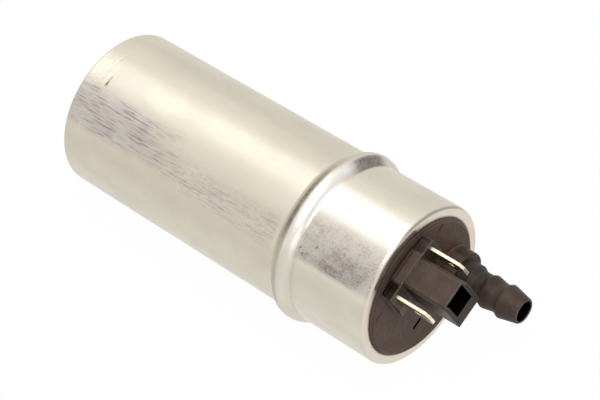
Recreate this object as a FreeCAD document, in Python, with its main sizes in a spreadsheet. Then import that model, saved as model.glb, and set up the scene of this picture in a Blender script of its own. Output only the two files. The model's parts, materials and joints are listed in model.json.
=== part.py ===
import FreeCAD, Part
import math
import os
import Sketcher
from FreeCAD import Placement, Rotation, Vector

# In-tank electric fuel pump, 43 mm casing, lying along X with the outlet end towards +X and the
# plug tower towards +Z. The origin is on the pump's axis, in the middle of the plain stretch of
# casing that the tank bracket clamps.

doc = FreeCAD.newDocument("fuel_pump")
sheet = doc.addObject("Spreadsheet::Sheet", "Sizes")

SIZES = {
    # casing
    "casing_radius": 21.5,
    "casing_wall": 1.0,
    "clamp_land": 66.0,
    "rear_band": 5.3,
    "bead_offset": 2.2,
    "bead_width": 7.0,
    "bead_height": 1.7,
    "bead_root_radius": 1.2,
    "front_land": 22.8,
    "front_lip_radius": 18.7,
    "rear_lip_radius": 18.4,
    "lip_corner_radius": 0.8,
    "band_groove_depth": 0.05,
    "band_groove_width": 0.8,
    "fit_gap": 0.05,
    # outlet cover
    "cover_depth": 31.0,
    "cover_wall": 4.0,
    "face_step_height": 0.3,
    "face_height": 0.9,
    "face_chamfer": 0.7,
    "lip_gap": 0.1,
    "skirt_wall": 2.05,
    "ledge_width": 0.8,
    "skirt_chamfer": 0.6,
    "holder_depth": 6.0,
    "seal_place": 20.0,
    "seal_groove_depth": 1.75,
    "seal_groove_width": 2.4,
    "seal_thickness": 1.7,
    # plug tower and terminal feet
    "foot_near": 15.5,
    "foot_crest": 8.5,
    "foot_far": 0.5,
    "foot_height": 2.85,
    "foot_chamfer": 0.25,
    "foot_side": 8.75,
    "foot_hollow_depth": 0.5,
    "foot_hollow_wall": 0.5,
    "pad_half_width": 4.6,
    "pad_far": 3.9,
    "pad_near": 16.0,
    "pad_height": 3.0,
    "pad_chamfer": 0.5,
    "tower_half_width": 4.2,
    "tower_far": 4.6,
    "tower_height": 16.1,
    "tower_chamfer": 0.9,
    "tower_inset": 0.1,
    "socket_half_width": 3.0,
    "socket_near": 14.8,
    "socket_far": 8.3,
    "socket_depth": 15.0,
    "notch_depth": 0.8,
    "notch_half_width": 3.5,
    # terminals
    "blade_offset": 7.0,
    "blade_width": 6.3,
    "blade_thickness": 0.8,
    "blade_near": 14.5,
    "blade_height": 12.5,
    "blade_tip_length": 0.8,
    "blade_tip_width": 3.4,
    "blade_hole_radius": 0.9,
    "blade_hole_place": 4.0,
    "blade_gap": 0.03,
    "shoulder_width": 7.6,
    "shoulder_length": 1.2,
    "tail_strip_far": 5.0,
    "tail_strip_near": 8.0,
    "tail_strip_length": 4.8,
    # hose tail
    "tail_y": 8.65,
    "tail_z": -6.3,
    "collar_radius": 6.4,
    "collar_round": 0.5,
    "collar_height": 4.4,
    "collar_groove_radius": 4.2,
    "collar_groove_width": 0.8,
    "tail_height": 22.5,
    "tail_root_radius": 3.9,
    "tail_tip_radius": 3.4,
    "tail_bore_radius": 2.85,
    "tail_tip_round": 0.25,
    "tail_shoulder_radius": 4.65,
    "tail_shoulder_place": 7.5,
    "barb_one_place": 12.0,
    "barb_two_place": 17.1,
    "barb_one_radius": 4.4,
    "barb_two_radius": 4.48,
    "barb_rise": 1.1,
    "barb_land": 0.4,
    "barb_fall": 2.6,
    # check valve
    "check_bore_radius": 3.9,
    "check_boss_radius": 5.4,
    "check_boss_depth": 4.5,
    "check_chamber_rise": 3.2,
    "check_seat_height": 2.2,
    "check_seat_radius": 2.1,
    "seat_gap": 0.05,
    "poppet_radius": 3.4,
    "poppet_height": 1.4,
    "poppet_guide_radius": 3.75,
    "poppet_stem_radius": 1.3,
    "poppet_stem_height": 3.4,
    "poppet_fin_width": 0.9,
    "poppet_fins": 4,
    "poppet_seal_thickness": 0.8,
    "poppet_seal_radius": 2.8,
    "check_spring_radius": 3.1,
    "check_spring_wire": 0.45,
    "check_spring_turns": 4,
    # relief valve
    "relief_y": -7.05,
    "relief_z": -7.85,
    "relief_bore_radius": 2.6,
    "relief_boss_radius": 3.8,
    "relief_depth": 6.8,
    "relief_seat_height": 1.7,
    "relief_seat_radius": 1.2,
    "relief_ball_radius": 1.7,
    "relief_spring_radius": 1.55,
    "relief_spring_wire": 0.4,
    "relief_spring_turns": 3,
    "vent_wall": 1.8,
    "vent_length": 3.0,
    "vent_width": 0.9,
    "mark_inner": 11.6,
    "mark_outer": 14.0,
    "mark_place": 10.45,
    "mark_width": 0.5,
    "mark_depth": 0.3,
    # brush gear
    "brush_angle": 100.0,
    "brush_place": 8.6,
    "brush_radial": 6.0,
    "brush_across": 7.0,
    "brush_length": 11.0,
    "brush_gap": 0.1,
    "brush_chamfer": 0.5,
    "holder_plate": 2.5,
    "holder_wall": 1.1,
    "holder_tube_length": 18.0,
    "holder_end_wall": 1.5,
    "holder_boss_radius": 4.9,
    "holder_boss_length": 9.5,
    "window_radius": 2.2,
    "window_place": 13.6,
    "window_angle": 42.0,
    "lead_hole_radius": 0.9,
    "lead_radius": 0.5,
    "lead_bend": 1.2,
    "lead_depth": 2.0,
    "lead_rise": 1.5,
    "lead_drop": 1.5,
    "brush_spring_radius": 2.3,
    "brush_spring_wire": 0.5,
    "brush_spring_turns": 4,
    # suppression chokes
    "choke_y": 12.4,
    "choke_z": 3.0,
    "choke_radius": 2.0,
    "choke_length": 15.0,
    "choke_seat_depth": 0.8,
    "choke_wire": 0.9,
    "choke_wire_gap": 0.2,
    "choke_pitch": 1.45,
    "choke_turns": 7,
    "choke_lead_place": 3.0,
    "choke_coil_gap": 1.2,
    "terminal_joint_depth": 3.6,
    # motor
    "bush_radius": 3.6,
    "front_bush_length": 6.0,
    "rear_bush_length": 5.0,
    "shaft_radius": 2.5,
    "shaft_gap": 0.03,
    "shaft_clearance": 0.2,
    "shaft_front_overhang": 1.5,
    "shaft_flat": 1.9,
    "shaft_chamfer": 0.4,
    "shaft_reach": 3.0,
    "shoulder_radius": 3.4,
    "washer_radius": 4.4,
    "washer_thickness": 0.5,
    "end_float": 0.1,
    "ring_wall": 2.0,
    "ring_chamfer": 0.5,
    "magnet_length": 37.0,
    "magnet_inner_radius": 14.0,
    "magnet_angle": 68.0,
    "clip_thickness": 0.8,
    "clip_length": 34.0,
    "clip_inner_radius": 15.0,
    "clip_side_gap": 0.2,
    "clip_leg_angle": 2.7,
    "air_gap": 0.5,
    "core_length": 30.0,
    "slot_count": 8,
    "slot_mouth": 1.6,
    "slot_bottom_half": 1.5,
    "slot_top_half": 3.5,
    "slot_bottom": 6.6,
    "slot_top": 11.6,
    "slot_lip": 0.7,
    "insulator_thickness": 1.0,
    "winding_gap": 0.2,
    "head_outer_radius": 12.0,
    "head_inner_radius": 5.9,
    "head_length": 4.6,
    "head_round": 1.4,
    "head_gap": 0.25,
    "commutator_radius": 12.4,
    "commutator_length": 3.2,
    "commutator_hub_length": 2.6,
    "commutator_hub_radius": 4.5,
    "commutator_hub_step": 0.4,
    "commutator_slot": 0.6,
    "commutator_slot_depth": 2.2,
    "commutator_gap": 2.0,
    # pump stage
    "inlet_cover_thickness": 7.0,
    "inlet_face_height": 1.5,
    "pump_ring_thickness": 7.0,
    "port_plate_thickness": 6.0,
    "port_boss_height": 1.2,
    "port_boss_wall": 2.2,
    "rotor_side_gap": 0.03,
    "lobe_count": 6,
    "lobe_circle": 11.0,
    "lobe_radius": 2.8,
    "rotor_offset": 1.1,
    "stage_turn": 90.0,
    "rotor_gap": 0.08,
    "rotor_rim": 2.4,
    "rotor_running_gap": 0.06,
    "rotor_bore_gap": 0.02,
    "port_inner_radius": 7.2,
    "port_outer_radius": 10.2,
    "port_half_angle": 58.0,
    "port_depth": 2.4,
    "dowel_radius": 1.25,
    "dowel_place": 17.4,
    "dowel_angle": 52.0,
    "dowel_length": 12.0,
    "thrust_radius": 2.3,
    "thrust_height": 1.5,
    "stub_offset": 8.6,
    "stub_radius": 5.5,
    "stub_bore_radius": 3.7,
    "stub_height": 9.5,
    "stub_collar_radius": 6.8,
    "stub_collar_height": 1.6,
    "stub_round": 0.6,
    "rear_rib_width": 1.6,
    "rear_rib_height": 1.0,
    "rear_rib_count": 6,
    "rear_dish_depth": 1.4,
    "rear_dish_outer": 15.6,
    "rear_dish_inner": 4.4,
}


# A size is a number with the sheet formula that gives it, so that a sum or a product of sizes
# stays tied to the sheet.
class Size:
    def __init__(self, value, text):
        self.value = float(value)
        self.text = text

    def __add__(self, other):
        return joined(self, "+", other, self.value + value_of(other))

    def __sub__(self, other):
        return joined(self, "-", other, self.value - value_of(other))

    def __mul__(self, other):
        return joined(self, "*", other, self.value * value_of(other))

    def __truediv__(self, other):
        return joined(self, "/", other, self.value / value_of(other))

    def __radd__(self, other):
        return plain(other) + self

    def __rsub__(self, other):
        return plain(other) - self

    def __rmul__(self, other):
        return plain(other) * self

    def __neg__(self):
        return plain(0) - self


def plain(number):
    return number if isinstance(number, Size) else Size(number, "(" + repr(float(number)) + ")")


def value_of(size):
    return plain(size).value


def joined(left, sign, right, value):
    return Size(value, "(" + left.text + " " + sign + " " + plain(right).text + ")")


def cosine(angle):
    return Size(math.cos(math.radians(angle.value)), "cos(" + angle.text + ")")


def sine(angle):
    return Size(math.sin(math.radians(angle.value)), "sin(" + angle.text + ")")


def square_root(size):
    return Size(math.sqrt(size.value), "sqrt(" + size.text + ")")


class Sheet:
    pass


d = Sheet()
for row, (name, number) in enumerate(SIZES.items(), start=1):
    sheet.set("A%d" % row, name)
    sheet.set("B%d" % row, repr(number))
    sheet.setAlias("B%d" % row, name)
    setattr(d, name, Size(number, "Sizes." + name))
doc.recompute()


def tie(item, path, size):
    size = plain(size)
    if "Sizes." in size.text:
        item.setExpression(path, size.text)


# One sub-part: a body with its own origin, placed on the pump's axis or beside it.
def new_body(label, x=0, y=0, z=0, turn=0):
    body = doc.addObject("PartDesign::Body", label)
    body.Label = label
    position = Vector(value_of(x), value_of(y), value_of(z))
    body.Placement = Placement(position, Rotation(Vector(1, 0, 0), value_of(turn)))
    tie(body, "Placement.Base.x", x)
    tie(body, "Placement.Base.y", y)
    tie(body, "Placement.Base.z", z)
    tie(body, "Placement.Rotation.Angle", turn)
    return body


def origin_feature(body, role):
    return next(item for item in body.Origin.OriginFeatures if item.Role == role)


# A sketch on one of the body's own planes. On YZ_Plane it is a cross-section and the height is
# along the pump; on XY_Plane or XZ_Plane it is a section along the pump.
def new_sketch(body, role, height=0, right=0, up=0, turn=0):
    sketch = body.newObject("Sketcher::SketchObject", body.Label + "_sketch")
    sketch.AttachmentSupport = [(origin_feature(body, role), "")]
    sketch.MapMode = "FlatFace"
    offset = Vector(value_of(right), value_of(up), value_of(height))
    sketch.AttachmentOffset = Placement(offset, Rotation(Vector(0, 0, 1), value_of(turn)))
    tie(sketch, "AttachmentOffset.Base.x", right)
    tie(sketch, "AttachmentOffset.Base.y", up)
    tie(sketch, "AttachmentOffset.Base.z", height)
    tie(sketch, "AttachmentOffset.Rotation.Angle", turn)
    return sketch


def hold(sketch, kind, geometry, point, size):
    if kind == "Radius":
        index = sketch.addConstraint(Sketcher.Constraint(kind, geometry, value_of(size)))
    else:
        index = sketch.addConstraint(
            Sketcher.Constraint(kind, -1, 1, geometry, point, value_of(size)))
    tie(sketch, "Constraints[%d]" % index, size)


def circle(sketch, radius, right=0, up=0):
    centre = Vector(value_of(right), value_of(up), 0)
    index = sketch.addGeometry(Part.Circle(centre, Vector(0, 0, 1), value_of(radius)), False)
    hold(sketch, "DistanceX", index, 3, right)
    hold(sketch, "DistanceY", index, 3, up)
    hold(sketch, "Radius", index, 0, radius)


# A closed outline of lines and arcs. Each corner is held by its two distances from the sketch's
# own origin, and each arc by its radius; side is 1 for an arc that turns left.
class Outline:
    def __init__(self, sketch, right, up):
        self.sketch = sketch
        self.corners = [(plain(right), plain(up))]
        self.steps = []

    def line(self, right, up):
        self.corners.append((plain(right), plain(up)))
        self.steps.append(None)
        return self

    def arc(self, right, up, radius, side):
        self.corners.append((plain(right), plain(up)))
        self.steps.append((plain(radius), side))
        return self

    def close(self, radius=None, side=1):
        self.steps.append(None if radius is None else (plain(radius), side))
        points = [Vector(right.value, up.value, 0) for right, up in self.corners]
        points.append(points[0])
        first = self.sketch.GeometryCount
        ends = []
        for number, step in enumerate(self.steps):
            start, end = points[number], points[number + 1]
            if step is None:
                self.sketch.addGeometry(Part.LineSegment(start, end), False)
                ends.append((1, 2))
            else:
                self.sketch.addGeometry(arc_between(start, end, step[0].value, step[1]), False)
                ends.append((1, 2) if step[1] > 0 else (2, 1))
        count = len(self.steps)
        for number in range(count):
            after = (number + 1) % count
            self.sketch.addConstraint(Sketcher.Constraint(
                "Coincident", first + number, ends[number][1], first + after, ends[after][0]))
        for number, (right, up) in enumerate(self.corners):
            hold(self.sketch, "DistanceX", first + number, ends[number][0], right)
            hold(self.sketch, "DistanceY", first + number, ends[number][0], up)
            if self.steps[number] is not None:
                hold(self.sketch, "Radius", first + number, 0, self.steps[number][0])


def arc_between(start, end, radius, side):
    chord = end - start
    across = Vector(-chord.y, chord.x, 0).normalize()
    height = math.sqrt(max(radius ** 2 - (chord.Length / 2) ** 2, 0))
    centre = (start + end) * 0.5 + across * (height * side)
    low, high = (start, end) if side > 0 else (end, start)
    angles = [math.atan2(point.y - centre.y, point.x - centre.x) for point in (low, high)]
    if angles[1] < angles[0]:
        angles[1] += 2 * math.pi
    return Part.ArcOfCircle(Part.Circle(centre, Vector(0, 0, 1), radius), angles[0], angles[1])


def rectangle(sketch, right_low, up_low, right_high, up_high):
    outline = Outline(sketch, right_low, up_low)
    outline.line(right_high, up_low).line(right_high, up_high).line(right_low, up_high).close()


def add_feature(body, kind, sketch, adds):
    before = body.Shape.Volume if body.Tip else 0
    feature = body.newObject("PartDesign::" + kind, body.Label + "_" + kind.lower())
    feature.Profile = (sketch, [""])
    return feature, before, adds


def settle(body, feature, before, adds):
    doc.recompute()
    after = body.Shape.Volume
    changed = after > before + 1e-6 if adds else after < before - 1e-6
    if not changed:
        raise RuntimeError(body.Label + ": " + feature.Label + " changes nothing")
    return feature


def pad(body, sketch, length, backwards=False):
    feature, before, adds = add_feature(body, "Pad", sketch, True)
    feature.Length = value_of(length)
    tie(feature, "Length", length)
    feature.Reversed = backwards
    return settle(body, feature, before, adds)


def pocket(body, sketch, length, forwards=False):
    feature, before, adds = add_feature(body, "Pocket", sketch, False)
    feature.Length = value_of(length)
    tie(feature, "Length", length)
    feature.Reversed = forwards
    return settle(body, feature, before, adds)


def turned(body, sketch, cut=False):
    kind = "Groove" if cut else "Revolution"
    feature, before, adds = add_feature(body, kind, sketch, not cut)
    feature.ReferenceAxis = (sketch, ["H_Axis"])
    feature.Angle = 360
    return settle(body, feature, before, adds)


def around(body, originals, count, adds):
    before = body.Shape.Volume
    pattern = body.newObject("PartDesign::PolarPattern", body.Label + "_pattern")
    pattern.Originals = originals
    pattern.Axis = (origin_feature(body, "X_Axis"), [""])
    pattern.Angle = 360
    pattern.Occurrences = int(value_of(count))
    tie(pattern, "Occurrences", count)
    body.Tip = pattern
    return settle(body, pattern, before, adds)


def mirrored(body, originals, adds):
    before = body.Shape.Volume
    mirror = body.newObject("PartDesign::Mirrored", body.Label + "_mirror")
    mirror.Originals = originals
    mirror.MirrorPlane = (origin_feature(body, "XZ_Plane"), [""])
    body.Tip = mirror
    return settle(body, mirror, before, adds)


def edges_where(body, test):
    return ["Edge%d" % number for number, edge in enumerate(body.Shape.Edges, start=1)
            if test(body.Placement.inverse().multVec(edge.CenterOfMass), edge)]


def softened(body, kind, edges, size):
    if not edges:
        raise RuntimeError(body.Label + ": no edge for the " + kind.lower())
    base = body.Tip
    feature = body.newObject("PartDesign::" + kind, body.Label + "_" + kind.lower())
    feature.Base = (base, edges)
    path = "Radius" if kind == "Fillet" else "Size"
    setattr(feature, path, value_of(size))
    tie(feature, path, size)
    doc.recompute()
    return feature


# Wire forms: a path of lines and arcs in space, swept by a round section.
def rounded_route(points, bend):
    edges = []
    last = points[0]
    for before, corner, after in zip(points, points[1:], points[2:]):
        inward = (corner - before).normalize()
        outward = (after - corner).normalize()
        half = math.acos(max(-1, min(1, inward.dot(outward)))) / 2
        reach = bend * math.tan(half)
        start = corner - inward * reach
        end = corner + outward * reach
        to_centre = (outward - inward).normalize()
        middle = corner + to_centre * (bend / math.cos(half) - bend)
        edges.append(Part.LineSegment(last, start).toShape())
        edges.append(Part.Arc(start, middle, end).toShape())
        last = end
    edges.append(Part.LineSegment(last, points[-1]).toShape())
    return edges


# Two tangent arcs from one point and direction to another.
def two_arcs(start, start_way, end, end_way):
    span = end - start
    ways = start_way + end_way
    spread = 2 * (1 - start_way.dot(end_way))
    along = span.dot(ways)
    reach = (-along + math.sqrt(along ** 2 + spread * span.dot(span))) / spread
    first_corner = start + start_way * reach
    last_corner = end - end_way * reach
    joint = (first_corner + last_corner) * 0.5
    return [tangent_arc(start, first_corner, joint), tangent_arc(joint, last_corner, end)]


def tangent_arc(start, corner, end):
    inward = (corner - start).normalize()
    outward = (end - corner).normalize()
    half = math.acos(max(-1, min(1, inward.dot(outward)))) / 2
    radius = (corner - start).Length / math.tan(half)
    to_centre = (outward - inward).normalize()
    middle = corner + to_centre * (radius / math.cos(half) - radius)
    return Part.Arc(start, middle, end).toShape()


def coil_point(radius, pitch, turn):
    angle = 2 * math.pi * turn
    return Vector(pitch * turn, radius * math.cos(angle), radius * math.sin(angle))


def coil_way(radius, pitch, turn):
    angle = 2 * math.pi * turn
    around_it = 2 * math.pi * radius
    return Vector(pitch, -around_it * math.sin(angle), around_it * math.cos(angle)).normalize()


def coil_route(radius, pitch, turns):
    edges = []
    for quarter in range(int(round(4 * turns))):
        low, high = quarter / 4, (quarter + 1) / 4
        edges += two_arcs(coil_point(radius, pitch, low), coil_way(radius, pitch, low),
                          coil_point(radius, pitch, high), coil_way(radius, pitch, high))
    return edges


def swept(edges, wire_radius):
    path = Part.Wire(edges)
    begin = edges[0].FirstParameter
    ring = Part.makeCircle(wire_radius, edges[0].valueAt(begin), edges[0].tangentAt(begin))
    solid = path.makePipeShell([Part.Wire([ring])], True, False)
    wanted = math.pi * wire_radius ** 2 * path.Length
    if abs(solid.Volume / wanted - 1) > 0.02:
        raise RuntimeError("a swept wire has the wrong volume")
    return solid


# Least gap of a coil to itself, from points a quarter turn and more apart.
def coil_gap(radius, pitch, turns, wire):
    steps = 24
    points = [coil_point(radius, pitch, step / steps) for step in range(int(turns * steps) + 1)]
    gap = min(points[low].distanceToPoint(points[high]) for low in range(len(points))
              for high in range(low + steps // 4, len(points)))
    return gap - wire


def new_feature(label, shape, x=0, y=0, z=0, turn=0):
    feature = doc.addObject("Part::Feature", label)
    feature.Label = label
    feature.Shape = shape
    position = Vector(value_of(x), value_of(y), value_of(z))
    feature.Placement = Placement(position, Rotation(Vector(1, 0, 0), value_of(turn)))
    tie(feature, "Placement.Base.x", x)
    tie(feature, "Placement.Base.y", y)
    tie(feature, "Placement.Base.z", z)
    tie(feature, "Placement.Rotation.Angle", turn)
    return feature


def spring(label, radius, wire, turns, room, x, y=0, z=0, turn=0):
    length = room.value - wire.value - 2 * d.seat_gap.value
    pitch = length / turns.value
    shape = swept(coil_route(radius.value, pitch, turns.value), wire.value / 2)
    gap = coil_gap(radius.value, pitch, turns.value, wire.value)
    print(label, "least gap between turns", round(gap, 2), "mm")
    return new_feature(label, shape, x + wire / 2 + d.seat_gap, y, z, turn)


# Places along the pump, from the inlet end to the outlet end.
rear_end = -(d.clamp_land / 2 + d.rear_band)
front_end = d.clamp_land / 2 + d.bead_offset + d.bead_width + d.front_land
casing_length = front_end - rear_end
rear_seat = rear_end + d.casing_wall
front_seat = front_end - d.casing_wall
casing_bore = d.casing_radius - d.casing_wall
fit_radius = casing_bore - d.fit_gap
pump_ring_start = rear_seat + d.inlet_cover_thickness
port_plate_start = pump_ring_start + d.pump_ring_thickness
motor_start = port_plate_start + d.port_plate_thickness
cover_start = front_seat - d.cover_depth
ring_length = cover_start - motor_start
cover_inside = front_end + d.face_height - d.cover_wall
cap_face = front_end + d.face_height
holder_start = cover_start + d.holder_depth - d.holder_plate
commutator_face = holder_start - d.commutator_gap

# The valve chambers, each from its seat to the wall that its spring rests on.
check_chamber_end = cap_face + d.check_chamber_rise
relief_chamber_end = cap_face - d.vent_wall

# The brush leads run in to the middle and out again, between the valve chambers.
lead_layer = holder_start + d.holder_tube_length + d.lead_rise
lead_joint = lead_layer - d.lead_drop
terminal_joint = cover_inside - d.terminal_joint_depth
choke_start = holder_start + d.holder_plate - d.choke_seat_depth
choke_coil_start = holder_start + d.holder_plate + d.choke_coil_gap
choke_coil_radius = d.choke_radius + d.choke_wire_gap + d.choke_wire / 2
choke_return_z = d.choke_z - d.choke_lead_place

# The shaft and what turns on it.
rear_bush_start = motor_start + d.port_boss_height - d.rear_bush_length
rear_washer_start = motor_start + d.port_boss_height + d.end_float
front_washer_start = holder_start - d.end_float - d.washer_thickness
shaft_start = pump_ring_start - d.shaft_reach
shaft_end = holder_start + d.front_bush_length + d.shaft_front_overhang
core_radius = d.magnet_inner_radius - d.air_gap
commutator_start = commutator_face - d.commutator_length
winding_end = commutator_start - d.commutator_hub_length - d.head_gap
core_start = winding_end - d.head_length - d.insulator_thickness - d.core_length
core_middle = core_start + d.core_length / 2

# The rotor pair of the pump stage.
rotor_thickness = d.pump_ring_thickness - 2 * d.rotor_side_gap
outer_root_radius = d.lobe_circle - d.lobe_radius + 2 * d.rotor_offset
outer_rotor_radius = outer_root_radius + d.rotor_rim
dowel_reach = (d.dowel_length - d.pump_ring_thickness) / 2


def casing():
    body = new_body("casing", rear_end)
    sketch = new_sketch(body, "XY_Plane")
    radius, bore, wall = d.casing_radius, casing_bore, d.casing_wall
    corner, root = d.lip_corner_radius, d.bead_root_radius
    half = d.bead_width / 2
    crown = (half * half + d.bead_height * d.bead_height) / (2 * d.bead_height) - root
    share = root / (crown + root)
    inner_share = (root + wall) / (crown + root)
    start = d.rear_band + d.clamp_land + d.bead_offset
    end = start + d.bead_width
    rise = d.bead_height - crown - root
    outline = Outline(sketch, 0, d.rear_lip_radius)
    outline.line(0, radius - corner)
    outline.arc(corner, radius, corner, -1)
    outline.line(d.rear_band - d.band_groove_width / 2, radius)
    outline.line(d.rear_band, radius - d.band_groove_depth)
    outline.line(d.rear_band + d.band_groove_width / 2, radius)
    outline.line(start, radius)
    outline.arc(start + half * share, radius + root + rise * share, root, 1)
    outline.arc(end - half * share, radius + root + rise * share, crown, -1)
    outline.arc(end, radius, root, 1)
    outline.line(casing_length - corner, radius)
    outline.arc(casing_length, radius - corner, corner, -1)
    outline.line(casing_length, d.front_lip_radius)
    outline.line(casing_length - wall, d.front_lip_radius)
    outline.line(casing_length - wall, bore)
    outline.line(end, bore)
    outline.arc(end - half * inner_share, radius + root + rise * inner_share, root + wall, -1)
    outline.arc(start + half * inner_share, radius + root + rise * inner_share, crown - wall, 1)
    outline.arc(start, bore, root + wall, -1)
    outline.line(wall, bore)
    outline.line(wall, d.rear_lip_radius)
    outline.close()
    turned(body, sketch)
    return body


# The cup of the cover, its stepped face and the groove of its sealing ring.
def cover_cup(body):
    sketch = new_sketch(body, "XY_Plane")
    inner = fit_radius - d.skirt_wall
    face = front_end - cover_start
    lip = d.front_lip_radius - d.lip_gap
    groove = d.seal_place - d.seal_groove_width / 2
    outline = Outline(sketch, 0, inner)
    outline.line(0, fit_radius - d.skirt_chamfer)
    outline.line(d.skirt_chamfer, fit_radius)
    outline.line(groove, fit_radius)
    outline.line(groove, fit_radius - d.seal_groove_depth)
    outline.line(groove + d.seal_groove_width, fit_radius - d.seal_groove_depth)
    outline.line(groove + d.seal_groove_width, fit_radius)
    outline.line(d.cover_depth, fit_radius)
    outline.line(d.cover_depth, lip)
    outline.line(face + d.face_step_height, lip)
    outline.line(face + d.face_height, lip - d.face_chamfer)
    outline.line(face + d.face_height, 0)
    outline.line(cover_inside - cover_start, 0)
    outline.line(cover_inside - cover_start, inner - d.ledge_width)
    outline.line(d.holder_depth, inner - d.ledge_width)
    outline.line(d.holder_depth, inner)
    outline.close()
    turned(body, sketch)


# The block under the plug tower, the hollow tower and the sloping terminal feet beside them.
def cover_plug(body):
    base = d.cover_depth
    face = cap_face - cover_start
    foot = new_sketch(body, "XZ_Plane", -(d.pad_half_width - d.pad_chamfer))
    outline = Outline(foot, base, d.foot_far)
    outline.line(face, d.foot_far)
    outline.line(face + d.foot_height, d.foot_crest)
    outline.line(face + d.foot_height, d.foot_near - d.foot_chamfer)
    outline.line(face + d.foot_height - d.foot_chamfer, d.foot_near)
    outline.line(base, d.foot_near)
    outline.close()
    feet = pad(body, foot, d.foot_side - d.pad_half_width + d.pad_chamfer, True)
    mirrored(body, [feet], True)

    block = new_sketch(body, "YZ_Plane", base)
    half, cut = d.pad_half_width, d.pad_chamfer
    outline = Outline(block, -half, d.pad_far)
    outline.line(half, d.pad_far)
    outline.line(half, d.pad_near - cut)
    outline.line(half - cut, d.pad_near)
    outline.line(-(half - cut), d.pad_near)
    outline.line(-half, d.pad_near - cut)
    outline.close()
    pad(body, block, face + d.pad_height - base)

    hollow = new_sketch(body, "XY_Plane", d.foot_near)
    rectangle(hollow, face, d.pad_half_width, face + d.foot_height - d.foot_hollow_wall,
              d.foot_side - d.foot_hollow_wall)
    hollows = pocket(body, hollow, d.foot_hollow_depth)
    mirrored(body, [hollows], False)

    tower = new_sketch(body, "YZ_Plane", base)
    half, cut, near = d.tower_half_width, d.tower_chamfer, d.foot_near - d.tower_inset
    outline = Outline(tower, -half, d.tower_far)
    outline.line(half, d.tower_far)
    outline.line(half, near - cut)
    outline.line(half - cut, near)
    outline.line(-(half - cut), near)
    outline.line(-half, near - cut)
    outline.close()
    pad(body, tower, face + d.tower_height - base)

    top = face + d.tower_height
    socket = new_sketch(body, "YZ_Plane", top)
    rectangle(socket, -d.socket_half_width, d.socket_far, d.socket_half_width, d.socket_near)
    pocket(body, socket, d.socket_depth)
    notch = new_sketch(body, "YZ_Plane", top)
    rectangle(notch, -d.notch_half_width, d.socket_near - d.blade_gap, d.notch_half_width,
              d.foot_near + d.tower_inset)
    pocket(body, notch, d.notch_depth)

    slot = new_sketch(body, "YZ_Plane", cover_inside - cover_start)
    side = d.blade_thickness / 2 + d.blade_gap
    rectangle(slot, d.blade_offset - side, d.blade_near - d.blade_width - d.blade_gap,
              d.blade_offset + side, d.blade_near + d.blade_gap)
    slots = pocket(body, slot, d.cover_wall + d.foot_height, True)
    mirrored(body, [slots], False)


# The round collar and the barbed hose tail, bored through to the check valve's chamber.
def cover_tail(body):
    face = cap_face - cover_start
    inside = cover_inside - cover_start
    barbs = new_sketch(body, "XY_Plane", d.tail_z, 0, d.tail_y)
    collar_end = face + d.collar_height
    root, land = d.tail_root_radius, d.barb_land
    outline = Outline(barbs, d.cover_depth, 0)
    outline.line(d.cover_depth, d.collar_radius)
    outline.line(collar_end - d.collar_round, d.collar_radius)
    outline.arc(collar_end, d.collar_radius - d.collar_round, d.collar_round, -1)
    outline.line(collar_end, d.collar_groove_radius)
    outline.line(collar_end + d.collar_groove_width, d.collar_groove_radius)
    outline.line(collar_end + d.collar_groove_width, d.tail_shoulder_radius)
    outline.line(face + d.tail_shoulder_place, d.tail_shoulder_radius)
    outline.line(face + d.tail_shoulder_place + d.barb_fall / 2, root)
    outline.line(face + d.barb_one_place - d.barb_rise, root)
    outline.line(face + d.barb_one_place, d.barb_one_radius)
    outline.line(face + d.barb_one_place + land, d.barb_one_radius)
    outline.line(face + d.barb_one_place + land + d.barb_fall, root)
    outline.line(face + d.barb_two_place - d.barb_rise, root)
    outline.line(face + d.barb_two_place, d.barb_two_radius)
    outline.line(face + d.barb_two_place + land, d.barb_two_radius)
    outline.line(face + d.tail_height - d.tail_tip_round, d.tail_tip_radius)
    outline.line(face + d.tail_height, d.tail_tip_radius - d.tail_tip_round)
    outline.line(face + d.tail_height, 0)
    outline.close()
    turned(body, barbs)

    boss = new_sketch(body, "YZ_Plane", inside - d.check_boss_depth, d.tail_y, d.tail_z)
    circle(boss, d.check_boss_radius)
    pad(body, boss, d.check_boss_depth + d.cover_wall / 2)
    chamber = new_sketch(body, "YZ_Plane", inside - d.check_boss_depth, d.tail_y, d.tail_z)
    circle(chamber, d.check_bore_radius)
    pocket(body, chamber, check_chamber_end - cover_inside + d.check_boss_depth, True)
    bore = new_sketch(body, "YZ_Plane", inside, d.tail_y, d.tail_z)
    circle(bore, d.tail_bore_radius)
    pocket(body, bore, d.cover_wall + d.tail_height, True)


# The relief valve's chamber under the vent slot, and the two moulded marks.
def cover_vent(body):
    face = cap_face - cover_start
    inside = cover_inside - cover_start
    bottom = relief_chamber_end - d.relief_depth - cover_start
    boss = new_sketch(body, "YZ_Plane", bottom, d.relief_y, d.relief_z)
    circle(boss, d.relief_boss_radius)
    pad(body, boss, inside + d.cover_wall / 2 - bottom)
    chamber = new_sketch(body, "YZ_Plane", bottom, d.relief_y, d.relief_z)
    circle(chamber, d.relief_bore_radius)
    pocket(body, chamber, d.relief_depth, True)
    vent = new_sketch(body, "YZ_Plane", inside, d.relief_y, d.relief_z)
    rectangle(vent, -d.vent_length / 2, -d.vent_width / 2, d.vent_length / 2, d.vent_width / 2)
    pocket(body, vent, d.cover_wall, True)
    mark = new_sketch(body, "YZ_Plane", face)
    rectangle(mark, d.mark_inner, d.mark_place - d.mark_width / 2, d.mark_outer,
              d.mark_place + d.mark_width / 2)
    marks = pocket(body, mark, d.mark_depth)
    mirrored(body, [marks], False)


def outlet_cover():
    body = new_body("outlet_cover", cover_start)
    cover_cup(body)
    cover_plug(body)
    cover_tail(body)
    cover_vent(body)
    return body


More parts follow.
